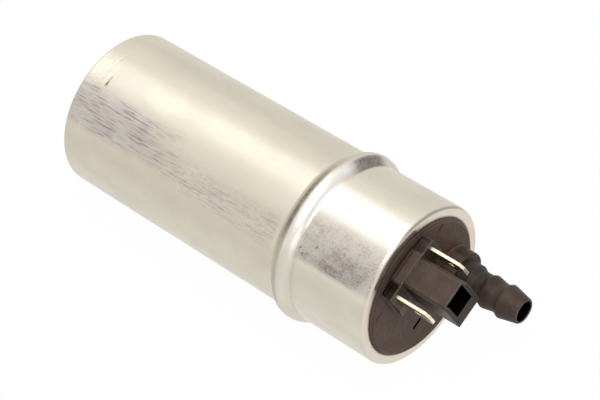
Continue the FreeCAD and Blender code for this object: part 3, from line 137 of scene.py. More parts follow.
# One material, with the shapes and textures that the finishes share. Its places are in mm.
class Finish(Shading):
    def __init__(self, name):
        self.material = bpy.data.materials.new(name)
        self.material.use_nodes = True
        super().__init__(self.material.node_tree)
        here = self.node("TexCoord", output="Object")
        self.place = self.node("VectorMath", {"operation": "SCALE"}, {0: here, "Scale": mmPerMetre})
        self.x = self.node("SeparateXYZ", {}, {0: self.place})
        self.y, self.z = self.x.other("Y"), self.x.other("Z")

    def shade(self, inputs):
        shader = self.tree.nodes["Principled BSDF"]
        for name, value in inputs.items():
            self.feed(shader.inputs[name], value)

    def grain(self, perMm, detail=3, stretch=(1, 1, 1), shift=0, rough=0.55):
        spot = self.node("Mapping", {}, {"Vector": self.place, "Location": (shift, shift, shift),
                                         "Scale": stretch})
        return self.node("TexNoise", {}, {"Vector": spot, "Scale": perMm, "Detail": detail,
                                          "Roughness": rough})

    def marks(self, low, high, perMm, **grain):         # grain cut to marks, full at high
        return self.step(self.grain(perMm, **grain), low, high)

    def rings(self, value, perMm, detail=3):
        return self.node("TexNoise", {"noise_dimensions": "1D"},
                         {"W": value, "Scale": perMm, "Detail": detail})

    def wave(self, value):                # an even ripple, from -1 to 1
        return self.node("Math", {"operation": "SINE"}, {0: value})

    def step(self, value, low, high):
        return self.node("MapRange", {"interpolation_type": "SMOOTHSTEP"},
                         {"Value": value, "From Min": low, "From Max": high})

    def near(self, value, middle, inner, outer):        # 1 within inner, 0 past outer
        return 1 - self.step(abs(value - middle), inner, outer)

    def mix(self, one, other, factor):
        return self.node("Mix", {"data_type": "RGBA"}, {0: factor, 6: one, 7: other}, 2)

    def radius(self):
        return (self.y * self.y + self.z * self.z) ** 0.5

    def angle(self):                      # degrees round the pump's axis, from +Y over +Z
        turn = self.node("Math", {"operation": "ARCTAN2"}, {0: self.z, 1: self.y})
        return turn * (180 / math.pi)

    def inside(self, low, high, soft):
        shown = 1
        for value, start, end, blur in zip((self.x, self.y, self.z), low, high, soft):
            shown = (self.step(value, start - blur, start + blur)
                     * (1 - self.step(value, end - blur, end + blur)) * shown)
        return shown

    def rounded(self, size):
        return self.node("Bevel", {"samples": 6}, {"Radius": size / mmPerMetre})

    def edges(self, rounded, low, high):
        flat = self.node("NewGeometry", output="Normal")
        along = self.node("VectorMath", {"operation": "DOT_PRODUCT"}, {0: rounded, 1: flat},
                          "Value")
        return self.step(1 - along, low, high)

    def bump(self, height, size, strength=1, normal=None):
        inputs = {"Height": height, "Distance": size / mmPerMetre, "Strength": strength}
        if normal:
            inputs["Normal"] = normal
        return self.node("Bump", {}, inputs)


dressed = set()


def dress(finish, *names):
    for name in names:
        for slot in nodes[name].material_slots:
            slot.material = finish.material
        dressed.add(name)


# The camera stands where the photograph was taken from, high over the outlet end.
camera = {
    "place": (0.30445, -0.06925, 0.46290),
    "right": (0.7367, 0.5738, -0.3580),
    "up": (-0.4386, 0.8083, 0.3930),
    "back": (0.5147, -0.1325, 0.8470),
    "lens": 130.5,
    "sensor": 36.0,
    "nearest": 0.01,
    "farthest": 20,
}


def setUpCamera(view):
    eye = bpy.data.objects.new("mainCamera", bpy.data.cameras.new("mainCamera"))
    bpy.context.scene.collection.objects.link(eye)
    turn = Matrix((view["right"], view["up"], view["back"])).transposed().to_4x4()
    turn = turn.to_quaternion().to_matrix().to_4x4()    # squared up, as the rows are rounded
    eye.matrix_world = Matrix.Translation(Vector(view["place"])) @ turn
    eye.data.lens = view["lens"]
    eye.data.sensor_width = view["sensor"]
    eye.data.clip_start, eye.data.clip_end = view["nearest"], view["farthest"]
    bpy.context.scene.camera = eye


setUpCamera(camera)
print("camera set")


studio = {
    "floorSize": 6.0,
    "floorGap": 0.0001,
    "floorColour": (0.80, 0.80, 0.79),
    "floorWhite": 0.985,                  # share of plain white where the floor is seen
    "worldColour": (1.0, 1.0, 1.0),
    "worldLight": 0.44,
    "seenColour": (0.80, 0.80, 0.80),     # where the world is seen or mirrored
    "seenLight": 1.17,
    "lamps": (
        # name, shape, towards, distance, width, height, power, colour
        ("softboxOverhead", "RECTANGLE", (-0.515, 0.49, 0.70), 0.80, 0.62, 0.34, 0.46,
         (0.96, 1.0, 1.06)),
        ("softboxWide", "DISK", (-0.515, 0.45, 0.70), 0.75, 1.50, 1.50, 1.22, (1.0, 1.0, 0.99)),
        ("keyLamp", "DISK", (0.30, 0.15, 0.94), 1.00, 0.50, 0.50, 6.2, (1.0, 0.99, 0.96)),
        ("softboxFront", "RECTANGLE", (0.80, -0.45, 0.40), 1.10, 0.60, 0.60, 0.5,
         (1.0, 0.96, 0.92)),
        ("softboxBack", "RECTANGLE", (-0.35, -0.75, 0.56), 1.20, 0.50, 0.50, 0.2,
         (0.96, 0.98, 1.0)),
    ),
}


def makeFloor(setting):
    half = setting["floorSize"] / 2
    height = cadBox[0][2] - setting["floorGap"]
    mesh = bpy.data.meshes.new("studioFloor")
    corners = [(-half, -half, height), (half, -half, height), (half, half, height),
               (-half, half, height)]
    mesh.from_pydata(corners, [], [(0, 1, 2, 3)])
    floor = bpy.data.objects.new("studioFloor", mesh)
    bpy.context.scene.collection.objects.link(floor)
    paint = Finish("studioFloor")
    plain = paint.node("BsdfDiffuse", {}, {"Color": setting["floorColour"]})
    white = paint.node("Emission", {}, {"Color": (1, 1, 1), "Strength": 1.0})
    share = paint.seen() * setting["floorWhite"]
    paint.end(paint.node("MixShader", {}, {0: share, 1: plain, 2: white}))
    mesh.materials.append(paint.material)


def lightWorld(setting):
    world = bpy.data.worlds.new("studioWorld")
    bpy.context.scene.world = world
    world.use_nodes = True
    sky = Shading(world.node_tree)
    light = world.node_tree.nodes["Background"]
    sky.feed(light.inputs["Color"], setting["worldColour"])
    sky.feed(light.inputs["Strength"], setting["worldLight"])
    white = sky.node("Background", {}, {"Color": setting["seenColour"],
                                        "Strength": setting["seenLight"]})
    mixed = sky.node("MixShader", {}, {0: sky.seen(), 1: Wire(sky, light.outputs[0]), 2: white})
    sky.end(mixed, "World Output")


def hangLamps(setting):
    middle = (Vector(cadBox[0]) + Vector(cadBox[1])) / 2
    for name, shape, towards, distance, width, height, power, colour in setting["lamps"]:
        data = bpy.data.lights.new(name, "AREA")
        data.shape = shape
        data.size, data.size_y = width, height
        data.energy = power
        data.color = colour
        lamp = bpy.data.objects.new(name, data)
        bpy.context.scene.collection.objects.link(lamp)
        way = Vector(towards).normalized()
        lamp.location = middle + way * distance
        lamp.rotation_euler = way.to_track_quat("Z", "Y").to_euler()


makeFloor(studio)
lightWorld(studio)
hangLamps(studio)
bpy.context.scene.view_settings.view_transform = "Standard"
print("studio lit")


# Drawn aluminium tube: die lines along it, a strip worn by handling, a rubbed bead with painted
# highlights on its crown and crest and painted shade in its rear crease, and a rear band with short
# rolling marks painted bright where the highlight falls. The front part is painted whiter where its
# highlight falls, and its rounded front corner carries a painted dark reflection.
casingLook = {
    "drawn": (0.614, 0.562, 0.442),
    "bright": (0.688, 0.656, 0.570),
    "polishAndHighlight": (0.850, 0.810, 0.745),
    "white": (0.900, 0.890, 0.880),
    "worn": (0.490, 0.440, 0.425),
    "scuffed": (0.256, 0.226, 0.202),
    # painted shade for the crease and the front corner, and the colour of dark ticks and pits
    "shadeAndGrime": (0.120, 0.105, 0.088),
    "smudge": (0.120, 0.102, 0.100),
    "lip": (0.740, 0.655, 0.560),
    "roughness": 0.33,
    "edges": (0.25, 1.2),                 # rounding in mm, of the tube and of its outlet end
    # along x in mm: where a thing starts and ends, or where it stands
    "rearEnd": (-14, 4),
    "middleGrowth": (10, 24),
    "bead": (35.2, 42.2),
    "creasePlace": 37.75,
    "crestPlace": 40.3,
    "bandEnd": -31.2,
    "wideEdgeStart": (62.8, 63.4),
    "lipStart": (64.5, 64.9),
    "cornerLine": (85.80, 86.00),         # x plus radius, across the rounded corner
    # degrees round the tube, from +Y over +Z: where a band starts, is full, fades and is gone
    "wornStrip": (90, 98, 120, 128),
    "middleStrip": (99, 118, 122, 133),
    "frontStrip": (88, 97, 121, 126),
    "frontHighlight": (60, 78, 84, 93),
    "backStrip": (-75, -55, -20, 0),
    "polishHighlightBand": (58, 74, 114, 124),
    "creaseBand": (42, 84, 103, 123),
    "cornerBand": (5, 25, 70, 95),
    # degrees round the tube: middle, half width where full, half width in all
    "hatchSide": (82, 10, 18),
    "crestWhite": (62, 10, 24),
    "crestPale": (135, 18, 45),
    # the same along x in mm, and then in degrees
    "frontCore": (56, 4, 9, 114.5, 3, 11),
    "frontLowerEdge": (52, 7, 10, 120.5, 2.0, 5.5),
    "smudgePlace": (41.0, 1.0, 2.0, 36, 8, 22),
    # x, degrees, half length in mm, half width in degrees
    "ticks": ((-31.0, 87.0, 0.40, 5.5), (-31.0, 90.0, 0.50, 2.6)),
    "pits": ((42.6, 116.3, 0.35, 0.8), (43.7, 119.1, 0.45, 0.9), (46.8, 110.7, 0.3, 1.6)),
}


def casingAluminium(look):
    tube = Finish("casingAluminium")
    angle = tube.angle()
    start, end = look["bead"]

    def band(limits):
        return tube.step(angle, *limits[:2]) * (1 - tube.step(angle, *limits[2:]))

    def patch(x, xInner, xOuter, degrees, inner, outer):
        return tube.near(tube.x, x, xInner, xOuter) * tube.near(angle, degrees, inner, outer)

    def spots(places):
        shown = 0
        for x, degrees, long, wide in places:
            shown = patch(x, long * 0.3, long, degrees, wide * 0.3, wide) + shown
        return shown

    # The casing's parts along x, and the strips of wear on them.
    rear = 1 - tube.step(tube.x, *look["rearEnd"])
    front = tube.step(tube.x, end - 1.4, end - 0.2)
    middle = (1 - rear) * (1 - tube.step(tube.x, start - 2, start))
    onBead = tube.step(tube.x, start, start + 0.8) * (1 - tube.step(tube.x, end - 0.4, end + 0.8))
    strip = band(look["wornStrip"])
    middleStrip = band(look["middleStrip"]) * middle
    frontStrip = band(look["frontStrip"]) * front
    back = band(look["backStrip"])
    lowerEdge = patch(*look["frontLowerEdge"])
    core = patch(*look["frontCore"])

    # The textures that the wear is cut from.
    dieLines = tube.grain(2.6, detail=4, stretch=(0.02, 1, 1), shift=5)
    clouds = tube.grain(0.10, stretch=(0.5, 1, 1), shift=17)
    clumps = tube.marks(0.38, 0.60, 0.22, stretch=(0.5, 1, 1), shift=31)
    streaks = tube.marks(0.46, 0.66, 2.0, detail=4, stretch=(0.10, 1, 1), shift=3)
    patches = tube.marks(0.42, 0.66, 0.17, detail=4, stretch=(0.5, 1, 1), shift=77)
    speckle = tube.marks(0.48, 0.66, 2.3, detail=4, stretch=(0.35, 1, 1), shift=23, rough=0.65)
    mottle = tube.marks(0.32, 0.70, 2.8, stretch=(0.55, 1, 1), shift=43, rough=0.80)
    blots = tube.marks(0.40, 0.62, 0.38, stretch=(0.9, 1, 1), shift=57)
    hairlines = tube.marks(0.66, 0.76, 3.6, detail=2, stretch=(0.035, 1, 1), shift=61) * 0.15
    dirt = tube.marks(0.30, 0.60, 0.9, detail=4, shift=83)
    rings = tube.rings(tube.x, 2.2, 4)

    # Wear: a greyer tint, and dark scratches and spots in it.
    tinted = strip * rear * 0.75
    tinted = tinted + middleStrip * (0.10 + tube.step(tube.x, *look["middleGrowth"]) * 0.28)
    tinted = tinted * (0.5 + 0.5 * clumps) + frontStrip * (0.40 + core * 0.3) + back * clumps * 0.4
    dark = strip * streaks * rear * (0.35 + 0.65 * clumps) * 0.84
    dark = dark + middleStrip * (streaks * (0.16 + 0.26 * clumps) + speckle * 0.30)
    dark = dark + back * streaks * clumps * 0.4
    dark = dark + frontStrip * (mottle * 0.32 + blots * mottle * 0.42 + core * (0.14 + blots * 0.22)
                                + lowerEdge * (0.15 + 0.25 * mottle))

    # The rolled band at the inlet end, and the bead with painted shade in its crease, a painted
    # highlight on its crest, and a smudge.
    rearBand = 1 - tube.step(tube.x, look["bandEnd"] - 0.8, look["bandEnd"] + 0.4)
    hatch = tube.marks(0.44, 0.60, 2.4, detail=2, stretch=(0.25, 1, 1), shift=71) * rearBand
    # The rolling marks are kept only round the side where the highlight falls, and painted bright
    # there: real marks with a painted highlight.
    hatch = hatch * tube.near(angle, *look["hatchSide"])
    # Painted shade in the bead's rear crease, with a little grime, and a faint line of it at the
    # front root.
    low, full, fade, gone = look["creaseBand"]
    creaseDepth = tube.step(angle, low, full) * (1 - 0.70 * tube.step(angle, fade, gone))
    shadeAndGrime = tube.near(tube.x, look["creasePlace"], 0.35, 1.20) * (0.15 + 0.85 * creaseDepth)
    shadeAndGrime = shadeAndGrime * (0.80 + 0.20 * dirt) + tube.near(tube.x, end, 0.1, 0.7) * 0.12
    # The bead's crown, rubbed and painted brighter where its highlight falls: a painted highlight.
    polishAndHighlight = band(look["polishHighlightBand"]) * onBead * tube.step(tube.x, start + 2.8, start + 5)
    # A painted highlight along the bead's crest, white on its upper side and pale below.
    crestHighlight = tube.near(tube.x, look["crestPlace"], 0.20, 1.60)
    crestHighlight = crestHighlight * (tube.near(angle, *look["crestWhite"]) * 0.8
                     + tube.near(angle, *look["crestPale"]) * 0.20)
    smudge = patch(*look["smudgePlace"])
    smudge = smudge * (0.80 + 0.20 * tube.marks(0.35, 0.65, 1.1, detail=4, shift=91))

    # Tone from die lines and clouds; the front part is painted a little lighter, a painted
    # highlight.
    colour = tube.mix(look["drawn"], look["bright"],
                      dieLines * 0.35 + tube.step(clouds, 0.45, 0.7) * 0.25 + front * 0.25)
    colour = tube.mix(colour, look["worn"], patches * 0.14)
    # Painted highlights: a white band on the front part and a line along the bead's crest.
    colour = tube.mix(colour, look["white"], band(look["frontHighlight"]) * front * 0.6 + crestHighlight)
    colour = tube.mix(colour, look["bright"], hatch * 0.7)
    colour = tube.mix(colour, look["polishAndHighlight"], polishAndHighlight * (0.75 + rings * 0.25))
    colour = tube.mix(colour, look["worn"], tinted)
    colour = tube.mix(colour, look["scuffed"], dark + hairlines)
    colour = tube.mix(colour, look["smudge"], smudge * 0.85)
    # Painted shade in the crease, and the colour of dark ticks and pits.
    colour = tube.mix(colour, look["shadeAndGrime"], shadeAndGrime * 0.85 + spots(look["ticks"]) * 0.5
                      + spots(look["pits"]) * 0.8)
    lip = tube.step(tube.x, *look["lipStart"])
    colour = tube.mix(colour, look["lip"], lip * 0.8)
    # A painted dark reflection along the rounded corner into the outlet end.
    cornerReflection = tube.step(tube.x + tube.radius(), *look["cornerLine"]) * band(look["cornerBand"])
    colour = tube.mix(colour, look["shadeAndGrime"], cornerReflection * 0.55)

    roughness = look["roughness"] + (patches - 0.5) * 0.06 + tinted * 0.08 + dark * 0.12
    roughness = roughness + (dieLines - 0.5) * 0.10 + shadeAndGrime * 0.25 + smudge * 0.2 - polishAndHighlight * 0.04
    narrow, wide = look["edges"]
    edge = tube.node("Mix", {"data_type": "VECTOR"}, {0: tube.step(tube.x, *look["wideEdgeStart"]),
                                                      4: tube.rounded(narrow),
                                                      5: tube.rounded(wide)}, 1)
    height = dieLines * 0.4 + onBead * rings * 0.3 - dark * 0.6 - hatch * 0.5 - hairlines * 0.5
    tube.shade({
        "Base Color": colour,
        "Metallic": 1.0,
        "Roughness": roughness,
        "Normal": tube.bump(height, 0.02, 0.5, edge),
    })
    return tube


dress(casingAluminium(casingLook), "casing")
print("casing finished")


# Glass-filled moulded plastic: cloudy, with fibres at the surface, pale edges that are partly
# rubbed and partly a painted edge highlight, and dust.
coverLook = {
    "plastic": (0.060, 0.039, 0.029),
    "cloudy": (0.082, 0.058, 0.046),
    "edgeWearAndHighlight": (0.260, 0.225, 0.200),
    "fibre": (0.100, 0.082, 0.072),
    "dust": (0.300, 0.270, 0.240),
    "shade": (0.003, 0.002, 0.0015),
    "shades": (),
    "roughness": 0.46,
    "specular": 0.18,
    "edge": 0.28,                         # rounding in mm
}


def mouldedPlastic(name, look):
    cover = Finish(name)
    clouds = cover.marks(0.35, 0.65, 0.30, detail=4, shift=9)
    flow = cover.grain(0.9, stretch=(0.25, 1, 1), shift=23)
    fibres = cover.marks(0.62, 0.72, 4.5, detail=2, stretch=(0.25, 1, 1), shift=37)
    pores = cover.grain(7.0, detail=2, shift=51)
    lumps = cover.grain(0.8, detail=2, shift=59)
    dust = cover.marks(0.76, 0.80, 3.2, detail=1, shift=67)
    rounded = cover.rounded(look["edge"])
    # Edges painted pale: partly rubbed wear, partly a painted edge highlight.
    edgeWearAndHighlight = cover.edges(rounded, 0.01, 0.09) * (0.5 + 0.5 * clouds)
    colour = cover.mix(look["plastic"], look["cloudy"], clouds * 0.7 + flow * 0.3)
    if "face" in look:
        colour = cover.mix(colour, look["face"], (1 - cover.step(cover.x, *look["faceEnd"])) * 0.8)
    colour = cover.mix(colour, look["fibre"], fibres * 0.35)
    colour = cover.mix(colour, look["edgeWearAndHighlight"], edgeWearAndHighlight * 0.8)
    colour = cover.mix(colour, look["dust"], dust * 0.5)
    shaded = 1
    for amount, low, high, soft in look["shades"]:
        shaded = (1 - amount * cover.inside(low, high, soft)) * shaded
    # Painted shade down the hose tail's bore.
    if "bore" in look:
        y, z, radius, end = look["bore"]
        across, up = cover.y - y, cover.z - z
        away = (across * across + up * up) ** 0.5
        shaded = shaded * (1 - 0.95 * (1 - cover.step(away, radius, radius + 0.1))
                           * (1 - cover.step(cover.x, end - 0.4, end)))
    if look["shades"]:
        colour = cover.mix(look["shade"], colour, shaded)
        # a near-black metal gives no gloss back, so the deepest shade stays dark under a lamp
        cover.shade({"Metallic": cover.step(1 - shaded, 0.60, 0.95)})
    cover.shade({
        "Base Color": colour,
        "Roughness": look["roughness"] + clouds * 0.10 - edgeWearAndHighlight * 0.08 + (pores - 0.5) * 0.2,
        "Specular IOR Level": look["specular"],
        "Normal": cover.bump(lumps, 0.25, 0.5,
                             cover.bump(pores + fibres * 0.5 + flow * 0.6, 0.03, 0.45, rounded)),
    })
    return cover


# The outlet cover is warmer on its face and, with painted shade, nearly black in its openings and
# corners.
capLook = dict(coverLook, **{
    "face": (0.080, 0.042, 0.030),
    "faceEnd": (66.2, 66.5),
    "bore": (8.65, -6.3, 2.9, 88.35),     # y, z, radius and end of the hose tail's bore, in mm
    "shades": (
        # amount, low corner, high corner, softness, all in mm
        (0.99, (60.0, -3.1, 8.2), (81.85, 3.1, 14.9), (0.15, 0.08, 0.08)),
        (0.98, (60.0, -8.7, -8.45), (66.2, -5.4, -7.25), (0.1, 0.08, 0.08)),
        (0.70, (65.5, 11.4, 10.1), (66.2, 14.2, 10.8), (0.1, 0.2, 0.1)),
        (0.55, (65.5, -14.2, 10.1), (66.2, -11.4, 10.8), (0.1, 0.2, 0.1)),
        (0.80, (65.7, -8.9, 14.9), (68.5, -4.6, 15.7), (0.1, 0.3, 0.1)),
        (0.45, (65.7, 4.6, 14.9), (68.5, 8.9, 15.7), (0.1, 0.3, 0.1)),
        (0.50, (60.0, -13.0, 15.0), (66.6, 13.0, 20.0), (0.2, 4.0, 1.5)),
        (0.50, (66.0, -4.5, 4.4), (74.0, -4.0, 15.2), (3.0, 0.08, 0.2)),
        (0.55, (81.8, -4.5, 4.4), (82.2, 4.5, 15.8), (0.1, 0.2, 0.2)),
        (0.45, (65.7, -6.6, 4.0), (72.0, 6.6, 15.3), (2.0, 0.8, 0.5)),
        (0.20, (66.8, 3.2, -12.2), (96.0, 14.4, -0.8), (0.8, 0.3, 0.3)),
        (0.38, (66.8, 3.2, -12.2), (80.0, 14.4, -0.8), (0.8, 0.3, 0.3)),
    ),
})
dress(mouldedPlastic("coverPlastic", capLook), "outlet_cover")

inletLook = dict(coverLook, plastic=(0.030, 0.028, 0.027), cloudy=(0.044, 0.041, 0.039),
                 roughness=0.50)
dress(mouldedPlastic("inletPlastic", inletLook), "inlet_cover")

holderLook = dict(coverLook, plastic=(0.075, 0.070, 0.062), cloudy=(0.100, 0.092, 0.080),
                  edgeWearAndHighlight=(0.180, 0.165, 0.145), roughness=0.55)
dress(mouldedPlastic("holderPlastic", holderLook), "brush_holder")

valveLook = dict(coverLook, plastic=(0.520, 0.490, 0.420), cloudy=(0.600, 0.570, 0.500),
                 edgeWearAndHighlight=(0.680, 0.650, 0.590), fibre=(0.560, 0.530, 0.470), roughness=0.38)
dress(mouldedPlastic("valvePlastic", valveLook), "check_valve_poppet", "thrust_button")
print("covers and mouldings finished")


# Stamped strip: bright edges, partly sheared metal and partly a painted edge highlight, rolling
# lines along the blade and thin tarnish.
bladeLook = {
    "metal": (0.900, 0.830, 0.660),
    "bright": (0.980, 0.950, 0.880),
    "tarnish": (0.560, 0.420, 0.240),
    "flat": (0.330, 0.250, 0.125),        # the broad faces, which mirror the dark cover
    "root": (0.520, 0.380, 0.180),
    "rootEnd": (68.5, 71.5),
    "roughness": 0.26,
    "edge": 0.12,                         # rounding in mm
}
clipLook = {
    "metal": (0.44, 0.46, 0.49),
    "bright": (0.66, 0.67, 0.69),
    "tarnish": (0.20, 0.22, 0.26),
    "flat": (0.40, 0.42, 0.45),
    "roughness": 0.26,
    "edge": 0.12,
}


def stampedStrip(name, look):
    blade = Finish(name)
    lines = blade.grain(5.0, stretch=(0.06, 1, 1), shift=13)
    tarnish = blade.marks(0.48, 0.68, 0.8, detail=4, stretch=(0.6, 1, 1), shift=29)
    scratches = blade.marks(0.60, 0.70, 3.0, detail=2, stretch=(0.1, 1, 1), shift=41)
    rounded = blade.rounded(look["edge"])
    shearedAndHighlit = blade.edges(rounded, 0.01, 0.15)
    colour = blade.mix(look["metal"], look["tarnish"], tarnish * 0.5)
    colour = blade.mix(colour, look["bright"], lines * 0.3 + scratches * 0.2)
    # Edges painted bright: partly sheared metal, partly a painted edge highlight.
    colour = blade.mix(colour, look["bright"], shearedAndHighlit * 0.5)
    normal = blade.node("SeparateXYZ", {}, {0: blade.node("NewGeometry", output="Normal")}, "Y")
    flat = blade.step(abs(normal), 0.7, 0.95)
    colour = blade.mix(colour, look["flat"], flat * (0.80 + 0.10 * lines))
    if "root" in look:
        colour = blade.mix(colour, look["root"], (1 - blade.step(blade.x, *look["rootEnd"])) * 0.6)
    blade.shade({
        "Base Color": colour,
        "Metallic": 1.0,
        "Roughness": look["roughness"] + tarnish * 0.14 - scratches * 0.05,
        "Normal": blade.bump(lines + scratches * 0.6, 0.015, 0.4, rounded),
    })
    return blade


dress(stampedStrip("terminalBrass", bladeLook), "terminal_left", "terminal_right")
dress(stampedStrip("clipSteel", clipLook), "magnet_clip_left", "magnet_clip_right")
print("terminals and clips finished")


# Turned metal: fine rings about the pump's axis, pores and a light stain.
turnedLook = {
    "seatBrass": {"metal": (0.720, 0.560, 0.280), "dark": (0.400, 0.280, 0.120),
                  "roughness": 0.28, "pores": 0.1, "perMm": 5.0,
                  "pieces": ("check_valve_seat", "relief_valve_seat")},
    "bushBronze": {"metal": (0.480, 0.310, 0.170), "dark": (0.180, 0.100, 0.050),
                   "roughness": 0.42, "pores": 0.8, "perMm": 3.0,
                   "pieces": ("front_bush", "rear_bush")},
    "washerSteel": {"metal": (0.520, 0.520, 0.530), "dark": (0.300, 0.300, 0.310),
                    "roughness": 0.24, "pores": 0.1, "perMm": 6.0,
                    "pieces": ("front_washer", "rear_washer")},
    "shaftSteel": {"metal": (0.560, 0.560, 0.570), "dark": (0.360, 0.360, 0.380),
                   "roughness": 0.16, "pores": 0.05, "perMm": 8.0,
                   "pieces": ("armature_shaft", "pump_dowels")},
    "ballSteel": {"metal": (0.620, 0.620, 0.630), "dark": (0.480, 0.480, 0.500),
                  "roughness": 0.07, "pores": 0.05, "perMm": 1.0,
                  "pieces": ("relief_valve_ball",)},
    "ringSteel": {"metal": (0.480, 0.470, 0.440), "dark": (0.300, 0.290, 0.260),
                  "roughness": 0.36, "pores": 0.2, "perMm": 1.6,
                  "pieces": ("flux_ring",)},
    "portAluminium": {"metal": (0.620, 0.620, 0.610), "dark": (0.420, 0.420, 0.420),
                      "roughness": 0.32, "pores": 0.3, "perMm": 3.0,
                      "pieces": ("port_plate", "pump_ring")},
    "sinteredSteel": {"metal": (0.360, 0.355, 0.345), "dark": (0.140, 0.138, 0.135),
                      "roughness": 0.40, "pores": 1.0, "perMm": 2.0,
                      "pieces": ("inner_rotor", "outer_rotor")},
}


def turnedMetal(name, look):
    piece = Finish(name)
    faceRings = piece.rings(piece.radius(), look["perMm"], 4)
    sideRings = piece.rings(piece.x, look["perMm"], 4)
    lines = faceRings * 0.5 + sideRings * 0.5
    pores = piece.marks(0.60, 0.68, 5.5, detail=2, shift=19) * look["pores"]
    stain = piece.marks(0.42, 0.70, 0.4, detail=4, shift=47)
    colour = piece.mix(look["metal"], look["dark"], piece.step(lines, 0.40, 0.72) * 0.35)
    colour = piece.mix(colour, look["dark"], pores * 0.8 + stain * 0.25)
    piece.shade({
        "Base Color": colour,
        "Metallic": 1.0,
        "Roughness": look["roughness"] + pores * 0.2 + (lines - 0.5) * 0.15 + stain * 0.05,
        "Normal": piece.bump(lines - pores * 0.8, 0.015, 0.5),
    })
    return piece


for name, look in turnedLook.items():
    dress(turnedMetal(name, look), *look["pieces"])
print("turned pieces finished")


# Drawn wire: lines along the coil and a brown heat tint.
springLook = {"wire": (0.470, 0.455, 0.430), "tint": (0.260, 0.200, 0.140), "roughness": 0.28}


def springWire(look):
    spring = Finish("springSteel")
    lines = spring.grain(9.0, shift=7)
    tint = spring.marks(0.40, 0.65, 0.5, shift=25)
    spring.shade({
        "Base Color": spring.mix(look["wire"], look["tint"], tint * 0.5 + lines * 0.2),
        "Metallic": 1.0,
        "Roughness": look["roughness"] + lines * 0.15,
        "Normal": spring.bump(lines, 0.01, 0.5),
    })
    return spring


dress(springWire(springLook), "check_valve_spring", "relief_valve_spring",
      "brush_spring_upper", "brush_spring_lower")


# Seals: dark fuel-proof rubber with a matt bloom.
sealLook = {
    "rubber": (0.018, 0.017, 0.016),
    "bloom": (0.070, 0.066, 0.062),
    "roughness": 0.62,
    "specular": 0.35,
}


def sealRubber(look):
    seal = Finish("sealRubber")
    bloom = seal.marks(0.45, 0.70, 0.7, detail=4, shift=15)
    skin = seal.grain(8.0, shift=33)
    seal.shade({
        "Base Color": seal.mix(look["rubber"], look["bloom"], bloom * 0.6),
        "Roughness": look["roughness"] + bloom * 0.15,
        "Specular IOR Level": look["specular"],
        "Normal": seal.bump(skin, 0.01, 0.5),
    })
    return seal


dress(sealRubber(sealLook), "cover_seal", "check_valve_seal")


# Pressed powder pieces: carbon brushes and ferrite, grained, with ground faces and chips.
powderLook = {
    "brushCarbon": {"base": (0.030, 0.029, 0.030), "glint": (0.140, 0.110, 0.090),
                    "roughness": 0.50, "metal": 0.15,
                    "pieces": ("brush_upper", "brush_lower")},
    "magnetFerrite": {"base": (0.040, 0.040, 0.043), "glint": (0.095, 0.093, 0.095),
                      "roughness": 0.58, "metal": 0.0,
                      "pieces": ("magnet_upper", "magnet_lower")},
    "chokeFerrite": {"base": (0.055, 0.050, 0.048), "glint": (0.110, 0.100, 0.095),
                     "roughness": 0.55, "metal": 0.0,
                     "pieces": ("choke_core_left", "choke_core_right")},
}


def pressedPowder(name, look):
    piece = Finish(name)
    grains = piece.marks(0.58, 0.70, 6.0, detail=2, shift=11)
    ground = piece.grain(2.5, stretch=(0.08, 1, 1), shift=27)
    chips = piece.edges(piece.rounded(0.3), 0.03, 0.25)
    colour = piece.mix(look["base"], look["glint"], grains * 0.6 + ground * 0.3 + chips * 0.3)
    piece.shade({
        "Base Color": colour,
        "Metallic": look["metal"],
        "Roughness": look["roughness"] - grains * 0.15 + (ground - 0.5) * 0.1,
        "Normal": piece.bump(grains * 0.6 + ground, 0.02, 0.5),
    })
    return piece


for name, look in powderLook.items():
    dress(pressedPowder(name, look), *look["pieces"])
print("springs, seals and pressed pieces finished")


# Enamelled copper: turns show as ridges, with varnish pooled between them.
windingLook = {
    "enamel": (0.560, 0.210, 0.070),
    "pooled": (0.190, 0.060, 0.022),
    "bare": (0.760, 0.400, 0.230),
    "wirePitch": 0.45,
    "roughness": 0.24,
    "metal": 0.85,
}


def enamelledWire(name, look, ridged):
    coil = Finish(name)
    wander = coil.grain(0.5, shift=21)
    across = coil.radius() * (2 * math.pi / look["wirePitch"]) + wander * 9
    ridges = coil.wave(across) * 0.5 + 0.5
    if ridged:
        gaps = coil.step(1 - ridges, 0.62, 0.98)
        height, depth = ridges, 0.18
    else:
        gaps = coil.grain(4.0, detail=2, shift=35) * 0.3
        height, depth = wander, 0.02
    worn = coil.marks(0.60, 0.72, 1.2, detail=4, shift=55)
    colour = coil.mix(look["enamel"], look["bare"], worn * 0.5)
    colour = coil.mix(colour, look["pooled"], gaps * 0.85)
    coil.shade({
        "Base Color": colour,
        "Metallic": look["metal"],
        "Roughness": look["roughness"] + gaps * 0.25 + wander * 0.1,
        "Coat Weight": 0.4 - gaps * 0.2,
        "Normal": coil.bump(height, depth, 0.7),
    })
    return coil


dress(enamelledWire("windingCopper", windingLook, True), "armature_winding")
dress(enamelledWire("chokeCopper", windingLook, False), "choke_coil_left", "choke_coil_right")


# Braided brush leads: two crossing sets of strands.
leadLook = {
    "copper": (0.640, 0.340, 0.200),
    "shade": (0.220, 0.100, 0.055),
    "strandsPerMm": 2.4,
    "roughness": 0.34,
}


def braidedCopper(look):
    lead = Finish("leadBraid")
    turn = 2 * math.pi * look["strandsPerMm"]
    one = lead.wave((lead.x + lead.y + lead.z) * turn)
    two = lead.wave((lead.x - lead.y + lead.z) * turn)
    weave = one * two * 0.5 + 0.5
    lead.shade({
        "Base Color": lead.mix(look["shade"], look["copper"], lead.step(weave, 0.15, 0.75)),
        "Metallic": 1.0,
        "Roughness": look["roughness"] + (1 - weave) * 0.2,
        "Normal": lead.bump(weave, 0.08, 0.7),
    })
    return lead


